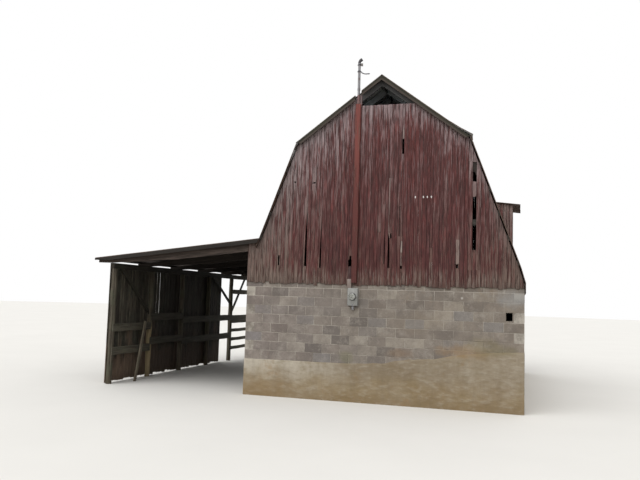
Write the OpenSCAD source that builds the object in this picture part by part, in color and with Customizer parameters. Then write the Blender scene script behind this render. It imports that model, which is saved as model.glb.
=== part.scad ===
// Gambrel-roofed barn on block walls, with an open lean-to along its left side.
// Origin: the middle of the front wall's foot. +X right, +Y back, +Z up.

/* [Block walls] */
// Width of the barn over its block walls
barn_w = 6096; // [5400:0.1:7200]
// Length of the barn over its block walls
barn_l = 8940.8; // [7200:0.1:12000]
// Height of the block walls
wall_h = 2641.6; // [2400:0.1:2800]
// Thickness of the block walls
wall_t = 203.2; // [150:0.1:250]

/* [Hole in the front wall] */
// Distance of the hole's middle in from the right wall's face
hole_in = 300; // [290:1:1500]
// Width of the hole
hole_w = 130; // [80:1:180]
// Height of the hole's sill
hole_z = 1864; // [1400:1:2000]
// Height of the hole
hole_h = 168; // [100:1:200]

/* [Doorway in the left wall] */
// Distance of the doorway from the front wall's face
doorway_y = 3454.4; // [1500:0.1:4500]
// Width of the doorway
doorway_w = 1625.6; // [900:0.1:2200]
// Height of the doorway
doorway_h = 2235.2; // [1900:0.1:2300]

/* [Gambrel roof] */
// Height of the ridge above the walls' top
ridge_rise = 4558.4; // [4358.4:0.1:4958.4]
// Distance of the knees in from the side walls' faces
knee_in = 1108; // [950:1:1250]
// Height of the knees above the walls' top
knee_rise = 3103.4; // [2858.4:0.1:3308.4]
// Distance of the lower slope's foot in from the wall's face
foot_in = 63; // [55:1:90]
// Height of the lower slope's foot above the wall
foot_rise = 318; // [280:1:400]
// Distance of the hanging sheet from the wall's face
skirt_gap = 7; // [4:1:20]
// Length of the sheet that hangs over the wall's top
skirt_lap = 200; // [100:1:300]
// Height of the bend of the hanging sheet above the wall's top
skirt_bend = 8; // [2:1:20]
// Reach of the roof past the boards of each gable
gable_overhang = 90; // [50:1:150]
// Reach of the upper sheets past the knees
knee_oversail = 28; // [10:1:60]
// Thickness of the roofing over its ribs
sheet_t = 20; // [16:1:25]

/* [Ribs of the roofing] */
// Height of a rib
rib_h = 12; // [8:1:12]
// Width of a rib
rib_w = 24; // [16:1:40]
// Distance between the two ribs at the lap of two sheets
rib_pair = 52; // [42:1:70]
// Number of sheets side by side along the barn
sheets = 15; // [12:1:18]
// Number of sheets side by side on the dormer
dormer_sheets = 3; // [2:1:4]

/* [Roof frame] */
// Thickness of the rafters
rafter_t = 38; // [30:1:50]
// Depth of the rafters
rafter_d = 140; // [120:1:160]
// Number of spaces between rafter frames
rafter_bays = 15; // [10:1:20]
// Thickness of the laths under the roofing
lath_t = 25; // [19:1:30]
// Width of the laths under the roofing
lath_w = 120; // [80:1:150]
// Clearance of the outer laths from the ends of each slope
lath_end_in = 10; // [5:1:30]
// Number of laths on each upper slope
upper_laths = 5; // [4:1:8]
// Number of laths on each lower slope
lower_laths = 6; // [5:1:9]
// Thickness of the ridge board
ridge_board_t = 25; // [19:1:38]
// Depth of the ridge board
ridge_board_d = 184; // [160:1:220]
// Thickness of the gusset plates at the knees
gusset_t = 16; // [10:1:22]
// Reach of the gusset plates from the knee's inner corner
gusset_reach = 260; // [180:1:320]
// Height of the collar ties above the walls' top
collar_rise = 3598.4; // [3408.4:0.1:3658.4]
// Thickness of the collar ties
collar_t = 25; // [19:1:38]
// Depth of the collar ties
collar_d = 120; // [90:1:140]
// Thickness of the rake boards under the edge of the upper sheets
rake_t = 22; // [19:1:30]
// Depth of the rake boards
rake_d = 84; // [60:1:110]
// Slant of the rake boards' lower ends
rake_cut = 50; // [20:1:80]

/* [Loft] */
// Thickness of the plates on the walls
plate_t = 38; // [30:1:50]
// Width of the plates on the walls
plate_w = 184; // [140:1:190]
// Thickness of the loft joists
joist_t = 38; // [30:1:50]
// Depth of the loft joists
joist_d = 184; // [140:1:220]
// Distance of the joists' ends in from the rafters' outer edges
joist_end_in = 25; // [10:1:60]
// Thickness of the loft floor
floor_t = 25; // [19:1:38]

/* [Gable boards] */
// Thickness of the gable boards
siding_t = 22; // [16:1:25]
// Lap of the gable boards over the block wall
siding_lap = 110; // [60:1:160]
// Height of the sill of the opening at the peak above the walls' top
peak_sill_rise = 3883.4; // [3808.4:0.1:3958.4]
// Distance of that opening's upright side from the centre line
peak_jamb_x = 446; // [400:1:460]
// Thickness of the nailing girts behind the boards
girt_t = 38; // [30:1:50]
// Depth of the nailing girts
girt_d = 120; // [90:1:140]
// Height of the lower girt above the walls' top
girt_low_rise = 1204.4; // [1058.4:0.1:1308.4]
// Height of the upper girt above the walls' top
girt_high_rise = 2338.4; // [2158.4:0.1:2458.4]
// Distance of the gable studs from the centre line
stud_x = 1100; // [900:1:1300]
// Width of the gable studs
stud_w = 38; // [30:1:60]
// Depth of the gable studs
stud_d = 89; // [60:1:100]

/* [Missing boards] */
// Width of a missing board
slit_w = 76; // [50:1:100]
// Distance of the missing board in from the right wall's face
slit_in = 1018; // [980:1:1150]
// Height of the lower gap's foot above the walls' top
slit_low_rise = 678.4; // [508.4:0.1:858.4]
// Height of the lower gap's head above the walls' top
slit_low_top_rise = 1808.4; // [1658.4:0.1:1908.4]
// Height of the upper gap's foot above the walls' top
slit_high_rise = 2124.4; // [2008.4:0.1:2208.4]
// Height of the upper gap's head above the walls' top
slit_high_top_rise = 2543.4; // [2408.4:0.1:2558.4]
// Width of the narrow split near the middle
split_w = 40; // [25:1:60]
// Distance of the narrow split from the centre line
split_x = 498; // [460:1:560]
// Height of the narrow split's foot above the walls' top
split_rise = 2768.4; // [2708.4:0.1:2858.4]
// Length of the narrow split
split_h = 330; // [200:1:360]

/* [Dormer] */
// Width of the dormer
dormer_w = 1626; // [1200:1:2000]
// Distance of the dormer's face in from the right wall's face
dormer_in = 283; // [200:1:370]
// Height of the dormer's roof over its face, above the walls' top
dormer_rise = 2173.4; // [2058.4:0.1:2308.4]
// Fall of the dormer's roof in degrees
dormer_fall = 6.7; // [4:0.1:9]
// Reach of the dormer's roof past its face
dormer_reach = 196; // [120:1:260]
// Reach of the dormer's roof past its cheeks
dormer_side_reach = 60; // [30:1:100]
// Thickness of the dormer's walls
dormer_t = 45; // [30:1:60]
// Thickness of the dormer's roof
dormer_roof_t = 30; // [20:1:40]
// Width of the hatch in the dormer's face
hatch_w = 1000; // [700:1:1050]
// Height of the hatch's sill above the walls' top
hatch_rise = 1258.4; // [1208.4:0.1:1408.4]
// Height of the hatch
hatch_h = 640; // [450:1:660]

/* [Service mast] */
// Distance of the mast from the centre line
mast_x = 522; // [505:1:540]
// Width of the mast's board
mast_board_w = 115; // [90:1:120]
// Thickness of the mast's board
mast_board_t = 62; // [56:1:75]
// Height of the board's foot above the foot of the gable boards
mast_board_lift = 39.4; // [20:0.1:100]
// Height of the top of the mast's board above the walls' top
mast_board_top_rise = 3918.4; // [3758.4:0.1:4058.4]
// Diameter of the mast's pipe
mast_pipe_d = 52; // [40:1:56]
// Length of the mast's pipe above the board
mast_pipe_l = 930; // [750:1:1050]
// Width of the gap in the roof's edge for the mast
mast_notch_w = 140; // [130:1:160]

/* [Mast head] */
// Diameter of the collar on the pipe
head_d = 64; // [60:1:70]
// Height of the collar
head_h = 40; // [30:1:60]
// Diameter of the hood
hood_d = 72; // [60:1:80]
// Length of the hood
hood_l = 38; // [30:1:50]
// Reach of the hood's root past the pipe's middle
hood_out = 30; // [20:1:40]
// Height of the hood's root over the pipe
hood_rise = 72; // [60:1:90]

/* [Mast arm] */
// Distance of the arm's level part below the pipe's top
arm_drop = 250; // [180:1:340]
// Reach of the arm
arm_reach = 240; // [200:1:320]
// Diameter of the arm
arm_d = 16; // [12:1:20]
// Radius of the arm's bend
arm_bend_r = 150; // [100:1:180]
// Angle of the arm's bend in degrees
arm_bend = 55; // [30:1:60]
// Thickness of the clamps on the pipe
clamp_t = 7; // [5:1:9]
// Height of the clamps
clamp_h = 34; // [24:1:40]
// Distance of the knob's middle below the pipe's top
knob_drop = 34; // [25:1:80]
// Diameter of the knob
knob_d = 50; // [40:1:56]
// Height of the knob
knob_h = 56; // [40:1:66]

/* [Meter] */
// Distance of the meter box from the centre line
meter_x = 532; // [500:1:560]
// Distance of the meter box below the foot of the gable boards
meter_drop = 73.6; // [40:0.1:400]
// Width of the meter box
meter_w = 226; // [200:1:260]
// Height of the meter box
meter_h = 385; // [300:1:400]
// Depth of the meter box
meter_d = 110; // [80:1:140]
// Width of the chamfers on the meter box
meter_chamfer = 8; // [4:1:14]
// Distance of the glass's middle below the top of the box
glass_drop = 186; // [140:1:200]
// Diameter of the ring round the glass
glass_d = 166; // [120:1:170]
// Width of that ring
glass_ring_w = 12; // [8:1:16]
// Height of that ring
glass_ring_h = 18; // [12:1:24]
// Depth of the glass with its ring
glass_h = 75; // [50:1:100]
// Width of the slant round the glass's face
glass_slant = 16; // [8:1:24]
// Diameter of the conduit under the meter box
conduit_d = 50; // [40:1:56]
// Length of the conduit under the meter box
conduit_low_l = 85; // [60:1:200]
// Width of the cable cover over the meter box
cover_w = 82; // [60:1:90]
// Depth of the cable cover
cover_t = 50; // [40:1:60]
// Height of the cable cover
cover_h = 197; // [150:1:260]
// Width of the chamfers on the cable cover
cover_chamfer = 6; // [3:1:12]

/* [Lean-to] */
// Distance from the block wall to the outside of the posts
lean_w = 3606; // [3200:1:4000]
// Height above the walls' top at which the lean-to's roof meets the slope
lean_rise = 898.4; // [838.4:0.1:1058.4]
// Fall of the lean-to's roof in degrees
lean_fall = 6.6; // [5:0.1:8]
// Reach of the lean-to's roof past its posts
lean_reach = 400; // [250:1:500]
// Number of bays between the posts
lean_bays = 5; // [4:1:6]
// Width of the posts
post_w = 130; // [100:1:150]
// Depth of the beam on the posts
beam_d = 140; // [100:1:184]
// Width of the beam on the posts
beam_w = 89; // [60:1:100]
// Thickness of the lean-to's rafters
lean_rafter_t = 38; // [30:1:50]
// Depth of the lean-to's rafters
lean_rafter_d = 203; // [170:1:220]
// Depth of the tails of the lean-to's rafters
lean_tail_d = 60; // [40:1:90]
// Depth of the lean-to's rafters over the beam
lean_seat_d = 105; // [90:1:130]
// Distance in from the posts to the start of the rafters' taper
lean_taper_in = 1780; // [1500:1:2000]
// Distance of the rafters' ends in from the edge of the lean-to's roof
lean_tail_in = 50; // [30:1:80]
// Thickness of the lean-to's laths
lean_lath_t = 38; // [25:1:45]
// Width of the lean-to's laths
lean_lath_w = 89; // [60:1:120]
// Number of laths on the lean-to
lean_laths = 7; // [5:1:9]
// Thickness of the lean-to's roofing
lean_sheet_t = 20; // [16:1:25]
// Depth of the front fascia
fascia_d = 85; // [70:1:120]
// Thickness of the front fascia
fascia_t = 25; // [19:1:38]

/* [Lean-to side] */
// Thickness of the side boards
side_t = 25; // [19:1:30]
// Number of side boards in a bay
side_boards = 11; // [9:1:12]
// Number of boards left in the last boarded bay
side_boards_last = 7; // [4:1:9]
// Gap between side boards
side_gap = 12; // [8:1:25]
// Distance of the tops of the side boards below the top of the beam
side_top_drop = 5; // [2:0.1:30]
// Clearance of the side boards over the ground
side_foot_z = 20; // [10:1:80]
// Difference in height between the feet of neighbouring boards
side_foot_step = 12; // [4:1:40]

/* [Lean-to rails] */
// Thickness of the rails
rail_t = 25; // [19:1:38]
// Depth of the rails of the boarded bays
rail_d = 190; // [120:1:230]
// Height of the upper rails
rail_high_z = 1370; // [1250:1:1450]
// Difference in height between the upper rails of the first bays
rail_high_step = 115; // [0:1:150]
// Height of the lower rails
rail_low_z = 770; // [600:1:900]
// Difference in height between the lower rails of the first bays
rail_low_step = 80; // [0:1:120]
// Height of the lowest rail of the open bay
open_rail_z = 380; // [250:1:450]
// Distance between the rails of the open bay
open_rail_step = 297; // [280:1:320]
// Depth of the rails of the open bay
open_rail_d = 110; // [80:1:140]
// Depth of the top rail of the open bay
open_top_rail_d = 270; // [200:1:300]
// Height of the rail at the head of the open bay
head_rail_z = 2270; // [2150:1:2400]
// Depth of that rail
head_rail_d = 150; // [100:1:180]

/* [Lean-to braces] */
// Width of the braces
brace_w = 89; // [60:1:110]
// Thickness of the braces
brace_t = 38; // [25:1:45]
// Height of the foot of the front brace
front_brace_z = 1650; // [1500:1:1800]
// Height of the foot of the brace in the last boarded bay
rear_brace_z = 1910; // [1830:1:2000]
// Height of the foot of the brace in the open bay
open_brace_z = 1560; // [1500:1:1800]

/* [Leaning board] */
// Length of the leaning board
lean_board_l = 1615; // [1590:1:1800]
// Distance of its foot from the front wall's middle
lean_board_y = 680; // [600:1:760]
// Angle at which it leans on the rail in degrees
lean_board_angle = 6; // [4:0.1:10]
// Angle at which it leans towards the rear in degrees
lean_board_side_angle = 24; // [16:0.1:26]

/* [Hidden] */
// Clearance between pieces that lie on each other
fit = 0.3;
// Overshoot of the cutting solids
past = 50;

// Heights from the ground
ridge_z = wall_h + ridge_rise;
knee_z = wall_h + knee_rise;
collar_z = wall_h + collar_rise;
peak_sill_z = wall_h + peak_sill_rise;
girt_low_z = wall_h + girt_low_rise;
girt_high_z = wall_h + girt_high_rise;
slit_low_z = wall_h + slit_low_rise;
slit_low_top_z = wall_h + slit_low_top_rise;
slit_high_z = wall_h + slit_high_rise;
slit_high_top_z = wall_h + slit_high_top_rise;
split_z = wall_h + split_rise;
dormer_z = wall_h + dormer_rise;
hatch_z = wall_h + hatch_rise;
mast_board_top_z = wall_h + mast_board_top_rise;
lean_z = wall_h + lean_rise;

// Faces of the barn
half_w = barn_w / 2;
knee_x = half_w - knee_in;
front_y = -wall_t / 2;
rear_y = barn_l - wall_t / 2;
siding_front_y = front_y - siding_t;
siding_foot_z = wall_h - siding_lap;
eaves_front_y = siding_front_y - gable_overhang;
eaves_rear_y = rear_y + siding_t + gable_overhang;

// Outline of the right half of the roof's outer surface, from ridge to hanging edge
profile = [
    [0, ridge_z],
    [knee_x, knee_z],
    [half_w - foot_in, wall_h + foot_rise],
    [half_w + skirt_gap + sheet_t, wall_h + skirt_bend],
    [half_w + skirt_gap + sheet_t, wall_h - skirt_lap],
];
UPPER = 0;
LOWER = 1;
FLARE = 2;
SKIRT = 3;

// Layers of the roof, measured in from its outer surface
lath_in = sheet_t + fit;
rafter_in = lath_in + lath_t + fit;
rafter_back = rafter_in + rafter_d;
plate_top = wall_h + fit + plate_t;
floor_z = plate_top + fit + joist_d + fit;
// Depth of the girts and studs behind the boards of each gable
gable_depth = girt_t + stud_d + 3 * fit;

// Geometry of sloping layers: d.y and the like stand for heights
function unit(v) = v / norm(v);
function crossing(p, d, q, e) =
    p + d * ((q.x - p.x) * e.y - (q.y - p.y) * e.x) / (d.x * e.y - d.y * e.x);
function inward(d) = [d.y, -d.x];
function slope_dir(i) = unit(profile[i + 1] - profile[i]);
function slope_len(i) = norm(profile[i + 1] - profile[i]);
function slope_point(i, inset) = profile[i] + inset * inward(slope_dir(i));
function corner(i, inset_i, k, inset_k) =
    crossing(slope_point(i, inset_i), slope_dir(i), slope_point(k, inset_k), slope_dir(k));
function slope_at_x(i, inset, x) = crossing(slope_point(i, inset), slope_dir(i), [x, 0], [0, 1]);
function slope_at_z(i, inset, z) = crossing(slope_point(i, inset), slope_dir(i), [0, z], [1, 0]);

// The lean-to's roof, worked out on the right side and mirrored to the left
lean_dir = [cos(lean_fall), -sin(lean_fall)];
lean_start = slope_at_z(LOWER, 0, lean_z);
function lean_point(inset) = lean_start + inset * inward(lean_dir);
function lean_at_x(inset, x) = crossing(lean_point(inset), lean_dir, [x, 0], [0, 1]);
function lean_on_slope(inset) =
    crossing(lean_point(inset), lean_dir, slope_point(LOWER, -fit), slope_dir(LOWER));
lean_lath_in = lean_sheet_t + fit;
lean_rafter_in = lean_lath_in + lean_lath_t + fit;
lean_rafter_back = lean_rafter_in + lean_rafter_d;
post_out_x = half_w + lean_w;
post_in_x = post_out_x - post_w;
lean_tip_x = post_out_x + lean_reach;
beam_top_z = lean_at_x(lean_rafter_in + lean_seat_d, post_out_x).y - fit;
post_top_z = beam_top_z - beam_d - fit;
post_step = (barn_l - post_w) / lean_bays;
lean_rafter_step = (barn_l - 2 * fit - lean_rafter_t) / lean_bays;
side_step = lean_rafter_step / side_boards;
side_top_z = beam_top_z - side_top_drop;
function post_y(i) = front_y + i * post_step;

// Rafter frames
frame_step = (barn_l - 2 * fit - rafter_t) / rafter_bays;
function frame_y(i) = front_y + fit + i * frame_step;

// The dormer stands halfway along the right slope
dormer_y = front_y + (barn_l - dormer_w) / 2;
dormer_face_x = half_w - dormer_in;
dormer_dir = [cos(dormer_fall), -sin(dormer_fall)];
function dormer_point(inset) = [dormer_face_x, dormer_z] + inset * inward(dormer_dir);
function dormer_at_x(inset, x) = crossing(dormer_point(inset), dormer_dir, [x, 0], [0, 1]);
function dormer_on_slope(inset, out) =
    crossing(dormer_point(inset), dormer_dir, slope_point(LOWER, -out), slope_dir(LOWER));

module timber() color([0.36, 0.30, 0.25]) children();
module blocks() color([0.60, 0.58, 0.56]) children();
module red_boards() color([0.40, 0.14, 0.13]) children();
module roofing() color([0.30, 0.26, 0.22]) children();
module grey_metal() color([0.55, 0.56, 0.57]) children();

// An outline in X and Z, drawn from y0 over a length along Y
module along_y(y0, length)
    translate([0, y0 + length, 0])
        rotate([90, 0, 0])
            linear_extrude(length) children();

module left_side() mirror([1, 0, 0]) children();
module both_sides() {
    children();
    mirror([1, 0, 0]) children();
}

// Block walls

module front_block_wall() blocks()
    difference() {
        translate([-half_w, front_y, 0]) cube([barn_w, wall_t, wall_h]);
        translate([half_w - hole_in - hole_w / 2, front_y - past, hole_z])
            cube([hole_w, wall_t + 2 * past, hole_h]);
    }

module rear_block_wall() blocks()
    translate([-half_w, rear_y - wall_t, 0]) cube([barn_w, wall_t, wall_h]);

// A stretch of the side walls between the front and rear walls
module side_wall(y0, y1, z0 = 0)
    blocks() translate([half_w - wall_t, y0, z0]) cube([wall_t, y1 - y0, wall_h - z0]);

side_wall_y0 = front_y + wall_t + fit;
side_wall_y1 = rear_y - wall_t - fit;
module right_block_wall() side_wall(side_wall_y0, side_wall_y1);
module left_block_wall_front() left_side() side_wall(side_wall_y0, front_y + doorway_y);
module left_block_wall_rear() left_side() side_wall(front_y + doorway_y + doorway_w, side_wall_y1);
module left_doorway_lintel()
    left_side()
        side_wall(front_y + doorway_y + fit, front_y + doorway_y + doorway_w - fit, doorway_h);

// Loft

module wall_plates() timber() {
    edge = (wall_t - plate_w) / 2;
    both_sides()
        translate([half_w - wall_t + edge, front_y + edge, wall_h + fit])
            cube([plate_w, barn_l - 2 * edge, plate_t]);
    for (y = [front_y + edge, rear_y - wall_t + edge])
        translate([-half_w + wall_t - edge + fit, y, wall_h + fit])
            cube([barn_w - 2 * (wall_t - edge + fit), plate_w, plate_t]);
}

joist_end_x = slope_at_z(LOWER, rafter_in, floor_z).x - joist_end_in;
joist_y = [
    front_y + gable_depth,
    for (i = [1 : rafter_bays - 1]) frame_y(i) + rafter_t + fit,
    rear_y - gable_depth - joist_t,
];
module loft_joists() timber()
    for (y = joist_y)
        translate([-joist_end_x, y, plate_top + fit])
            cube([2 * joist_end_x, joist_t, joist_d]);

module loft_floor() timber() {
    floor_half = slope_at_z(LOWER, rafter_back, floor_z + floor_t).x - fit;
    translate([-floor_half, front_y + gable_depth, floor_z])
        cube([2 * floor_half, barn_l - 2 * gable_depth, floor_t]);
}

// Roof frame

module upper_rafter_outline()
    polygon([
        slope_at_x(UPPER, rafter_in, ridge_board_t / 2 + fit),
        corner(UPPER, rafter_in, LOWER, rafter_in) - fit * slope_dir(UPPER),
        corner(UPPER, rafter_back, LOWER, rafter_back) - fit * slope_dir(UPPER),
        slope_at_x(UPPER, rafter_back, ridge_board_t / 2 + fit),
    ]);

module lower_rafter_outline()
    polygon([
        corner(UPPER, rafter_in, LOWER, rafter_in),
        slope_at_z(LOWER, rafter_in, plate_top + fit),
        slope_at_z(LOWER, rafter_back, plate_top + fit),
        corner(UPPER, rafter_back, LOWER, rafter_back),
    ]);

module in_each_frame()
    for (i = [0 : rafter_bays])
        along_y(frame_y(i), rafter_t) children();

module upper_rafters() timber() both_sides() in_each_frame() upper_rafter_outline();
module lower_rafters() timber() both_sides() in_each_frame() lower_rafter_outline();

// Plates over the joint of the two rafters at each knee, on the inner side of each frame
module knee_gusset() {
    inner = corner(UPPER, rafter_back, LOWER, rafter_back);
    outer = corner(UPPER, rafter_in, LOWER, rafter_in);
    polygon([
        outer,
        slope_point(LOWER, rafter_in) + (gusset_reach + rafter_d / 2) * slope_dir(LOWER),
        inner + gusset_reach * slope_dir(LOWER),
        inner - gusset_reach * slope_dir(UPPER),
        outer - (gusset_reach + rafter_d / 2) * slope_dir(UPPER),
    ]);
}

module knee_gussets() timber()
    both_sides()
        for (i = [1 : rafter_bays])
            along_y(frame_y(i) - fit - gusset_t, gusset_t) knee_gusset();

module collar_ties() timber() {
    reach_low = slope_at_z(UPPER, rafter_in, collar_z).x;
    reach_top = slope_at_z(UPPER, rafter_in, collar_z + collar_d).x;
    for (i = [1 : rafter_bays])
        along_y(frame_y(i) - fit - collar_t, collar_t)
            polygon([
                [-reach_low, collar_z],
                [reach_low, collar_z],
                [reach_top, collar_z + collar_d],
                [-reach_top, collar_z + collar_d],
            ]);
}

module ridge_board() timber() {
    top = slope_at_x(UPPER, rafter_in, ridge_board_t / 2).y;
    translate([-ridge_board_t / 2, front_y + fit, top - ridge_board_d])
        cube([ridge_board_t, barn_l - 2 * fit, ridge_board_d]);
}

// Laths across the rafters; the last ones keep clear of the ridge, the knee and the foot
module lath(i, s)
    polygon([
        slope_point(i, lath_in) + s * slope_dir(i),
        slope_point(i, lath_in) + (s + lath_w) * slope_dir(i),
        slope_point(i, lath_in + lath_t) + (s + lath_w) * slope_dir(i),
        slope_point(i, lath_in + lath_t) + s * slope_dir(i),
    ]);

lath_start = lath_in + lath_t + lath_end_in;
module laths(i, count) {
    step = (slope_len(i) - 2 * lath_start - lath_w) / (count - 1);
    for (k = [0 : count - 1])
        along_y(eaves_front_y + rake_t + fit, eaves_rear_y - eaves_front_y - 2 * (rake_t + fit))
            lath(i, lath_start + k * step);
}

module right_laths() {
    laths(UPPER, upper_laths);
    laths(LOWER, lower_laths);
}

// The lean-to's roof and the barn's own boards take the place of the overhang below its joint
module overhang_cut(y0)
    left_side()
        translate([0, y0, 0])
            cube([half_w * 2, gable_overhang + siding_t + past + fit, lean_on_slope(lean_rafter_in).y]);

module lean_to_cuts() {
    overhang_cut(eaves_front_y - past);
    overhang_cut(rear_y - fit);
}

module mast_notch()
    translate([-mast_x - mast_notch_w / 2, eaves_front_y - past, knee_z])
        cube([mast_notch_w, gable_overhang + past - fit, ridge_z - knee_z]);

module roof_laths() timber() {
    difference() {
        left_side() right_laths();
        lean_to_cuts();
        mast_notch();
    }
    difference() {
        right_laths();
        dormer_well();
    }
}

// Roof sheets

// A slab with ribs across it, a pair at each lap and one between; the slab is the first
// child and the outline of a rib the second
module ribbed(y0, length, count) {
    margin = (rib_pair + rib_w) / 2 + rib_h;
    step = (length - 2 * margin) / count;
    first = y0 + margin - rib_w / 2;
    along_y(y0, length) children(0);
    for (k = [0 : count], side = [-1, 1])
        along_y(first + k * step + side * rib_pair / 2, rib_w) children(1);
    for (k = [0 : count - 1])
        along_y(first + (k + 0.5) * step, rib_w) children(1);
}
module ribbed_roof() ribbed(eaves_front_y, eaves_rear_y - eaves_front_y, sheets) {
    children(0);
    children(1);
}

// Each outline lies between two insets from the outer surface
rib_back = (rib_h + sheet_t) / 2;

module upper_sheet(top, back) {
    tip = profile[1] + knee_oversail * slope_dir(UPPER);
    polygon([
        slope_at_x(UPPER, top, fit / 2),
        tip + top * inward(slope_dir(UPPER)),
        tip + back * inward(slope_dir(UPPER)),
        slope_at_x(UPPER, back, fit / 2),
    ]);
}
module upper_roof() ribbed_roof() {
    upper_sheet(rib_h, sheet_t);
    upper_sheet(0, rib_back);
}

module lower_sheet(top, back)
    polygon([
        corner(LOWER, top, UPPER, lath_in),
        corner(LOWER, top, FLARE, top),
        corner(FLARE, top, SKIRT, top),
        profile[4] - [top, 0],
        profile[4] - [back, 0],
        corner(SKIRT, back, FLARE, back),
        corner(FLARE, back, LOWER, back),
        corner(LOWER, back, UPPER, lath_in),
    ]);
module lower_roof() ribbed_roof() {
    lower_sheet(rib_h, sheet_t);
    lower_sheet(0, rib_back);
}

module right_upper_roof() roofing() upper_roof();
module left_upper_roof() roofing()
    difference() {
        left_side() upper_roof();
        mast_notch();
    }
module right_lower_roof() roofing()
    difference() {
        lower_roof();
        dormer_well();
    }
module left_lower_roof() roofing()
    difference() {
        left_side() lower_roof();
        lean_to_cuts();
    }

module rake_board()
    polygon([
        slope_at_x(UPPER, lath_in, fit / 2),
        profile[1] + lath_in * inward(slope_dir(UPPER)) - fit * slope_dir(UPPER),
        profile[1] + (lath_in + rake_d) * inward(slope_dir(UPPER)) - rake_cut * slope_dir(UPPER),
        slope_at_x(UPPER, lath_in + rake_d, fit / 2),
    ]);

module rake_boards() timber()
    difference() {
        both_sides()
            for (y = [eaves_front_y, eaves_rear_y - rake_t])
                along_y(y, rake_t) rake_board();
        mast_notch();
    }

// Gables

// Area inside the rafters of the end frame
module inside_rafters() {
    edge = rafter_back + fit;
    right = [
        slope_at_x(UPPER, edge, 0),
        corner(UPPER, edge, LOWER, edge),
        slope_at_z(LOWER, edge, plate_top),
    ];
    polygon([for (p = right) p, for (i = [2 : -1 : 1]) [-right[i].x, right[i].y]]);
}

girt_z = [girt_low_z, girt_high_z, peak_sill_z - girt_d];
module gable_frame(y) timber() {
    for (z = girt_z)
        along_y(y, girt_t)
            intersection() {
                inside_rafters();
                translate([-half_w, z]) square([barn_w, girt_d]);
            }
}

// Studs behind the girts, from the sill plate up to the rafters
module gable_studs(y) timber()
    both_sides()
        along_y(y, stud_d)
            intersection() {
                inside_rafters();
                translate([stud_x, plate_top + fit]) square([stud_w, ridge_z]);
            }

module front_gable_frame() {
    gable_frame(front_y + fit);
    gable_studs(front_y + 2 * fit + girt_t);
}
module rear_gable_frame() {
    gable_frame(rear_y - fit - girt_t);
    gable_studs(rear_y - 2 * fit - girt_t - stud_d);
}

// Boards from the wall up to the laths, and out to the wall's corner under the lean-to's roof
module gable_outline() {
    right = [
        [half_w, siding_foot_z],
        slope_at_x(FLARE, rafter_in, half_w),
        corner(LOWER, rafter_in, FLARE, rafter_in),
        corner(UPPER, rafter_in, LOWER, rafter_in),
        slope_at_x(UPPER, rafter_in, 0),
    ];
    joint = crossing(lean_point(lean_rafter_in), lean_dir,
                     slope_point(LOWER, rafter_in), slope_dir(LOWER));
    out = lean_at_x(lean_rafter_in, half_w);
    left = [
        corner(UPPER, rafter_in, LOWER, rafter_in),
        joint,
        out,
        [half_w, siding_foot_z],
    ];
    polygon([for (p = right) p, for (p = left) [-p.x, p.y]]);
}

// The opening runs from its upright side to the right slope
module peak_opening()
    translate([-peak_jamb_x, peak_sill_z]) square([half_w, ridge_z]);

module gap(x, w, z0, z1) translate([x, z0]) square([w, z1 - z0]);

module front_gable_boards() red_boards()
    along_y(siding_front_y, siding_t)
        difference() {
            gable_outline();
            peak_opening();
            gap(half_w - slit_in - slit_w / 2, slit_w, slit_low_z, slit_low_top_z);
            gap(half_w - slit_in - slit_w / 2, slit_w, slit_high_z, slit_high_top_z);
            gap(split_x - split_w / 2, split_w, split_z, split_z + split_h);
        }

module rear_gable_boards() red_boards()
    along_y(rear_y, siding_t)
        difference() {
            gable_outline();
            peak_opening();
        }

// Dormer

// Hole through the roofing and laths between the dormer's walls
module dormer_well() {
    head = dormer_on_slope(dormer_roof_t, 0);
    sill = slope_at_x(LOWER, 0, dormer_face_x - dormer_t);
    along_y(dormer_y + dormer_t, dormer_w - 2 * dormer_t)
        polygon([
            head + past * [1, 0],
            sill + past * [1, 0],
            sill + rafter_in * inward(slope_dir(LOWER)),
            head + rafter_in * inward(slope_dir(LOWER)),
        ]);
}

module dormer_cheek()
    polygon([
        dormer_on_slope(dormer_roof_t + fit, fit),
        dormer_at_x(dormer_roof_t + fit, dormer_face_x),
        slope_at_x(LOWER, -fit, dormer_face_x),
    ]);

module dormer_cheeks() red_boards()
    for (y = [dormer_y, dormer_y + dormer_w - dormer_t])
        along_y(y, dormer_t) dormer_cheek();

module dormer_face() red_boards()
    difference() {
        along_y(dormer_y + dormer_t + fit, dormer_w - 2 * (dormer_t + fit))
            polygon([
                dormer_at_x(dormer_roof_t + fit, dormer_face_x - dormer_t),
                dormer_at_x(dormer_roof_t + fit, dormer_face_x),
                slope_at_x(LOWER, -fit, dormer_face_x),
                slope_at_x(LOWER, -fit, dormer_face_x - dormer_t),
            ]);
        translate([dormer_face_x - dormer_t - past, dormer_y + (dormer_w - hatch_w) / 2, hatch_z])
            cube([dormer_t + 2 * past, hatch_w, hatch_h]);
    }

module dormer_sheet(top, back)
    polygon([
        dormer_on_slope(top, fit),
        dormer_at_x(top, dormer_face_x + dormer_reach),
        dormer_at_x(back, dormer_face_x + dormer_reach),
        dormer_on_slope(back, fit),
    ]);
module dormer_roof() roofing()
    ribbed(dormer_y - dormer_side_reach, dormer_w + 2 * dormer_side_reach, dormer_sheets) {
        dormer_sheet(rib_h, dormer_roof_t);
        dormer_sheet(0, rib_back);
    }

// Service mast

mast_y = siding_front_y - fit - mast_board_t / 2;
mast_pipe_top_z = mast_board_top_z + mast_pipe_l;
mast_board_z = siding_foot_z + mast_board_lift;
module mast_board() color([0.55, 0.20, 0.14])
    translate([-mast_x - mast_board_w / 2, siding_front_y - fit - mast_board_t, mast_board_z])
        cube([mast_board_w, mast_board_t, mast_board_top_z - mast_board_z]);

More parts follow.
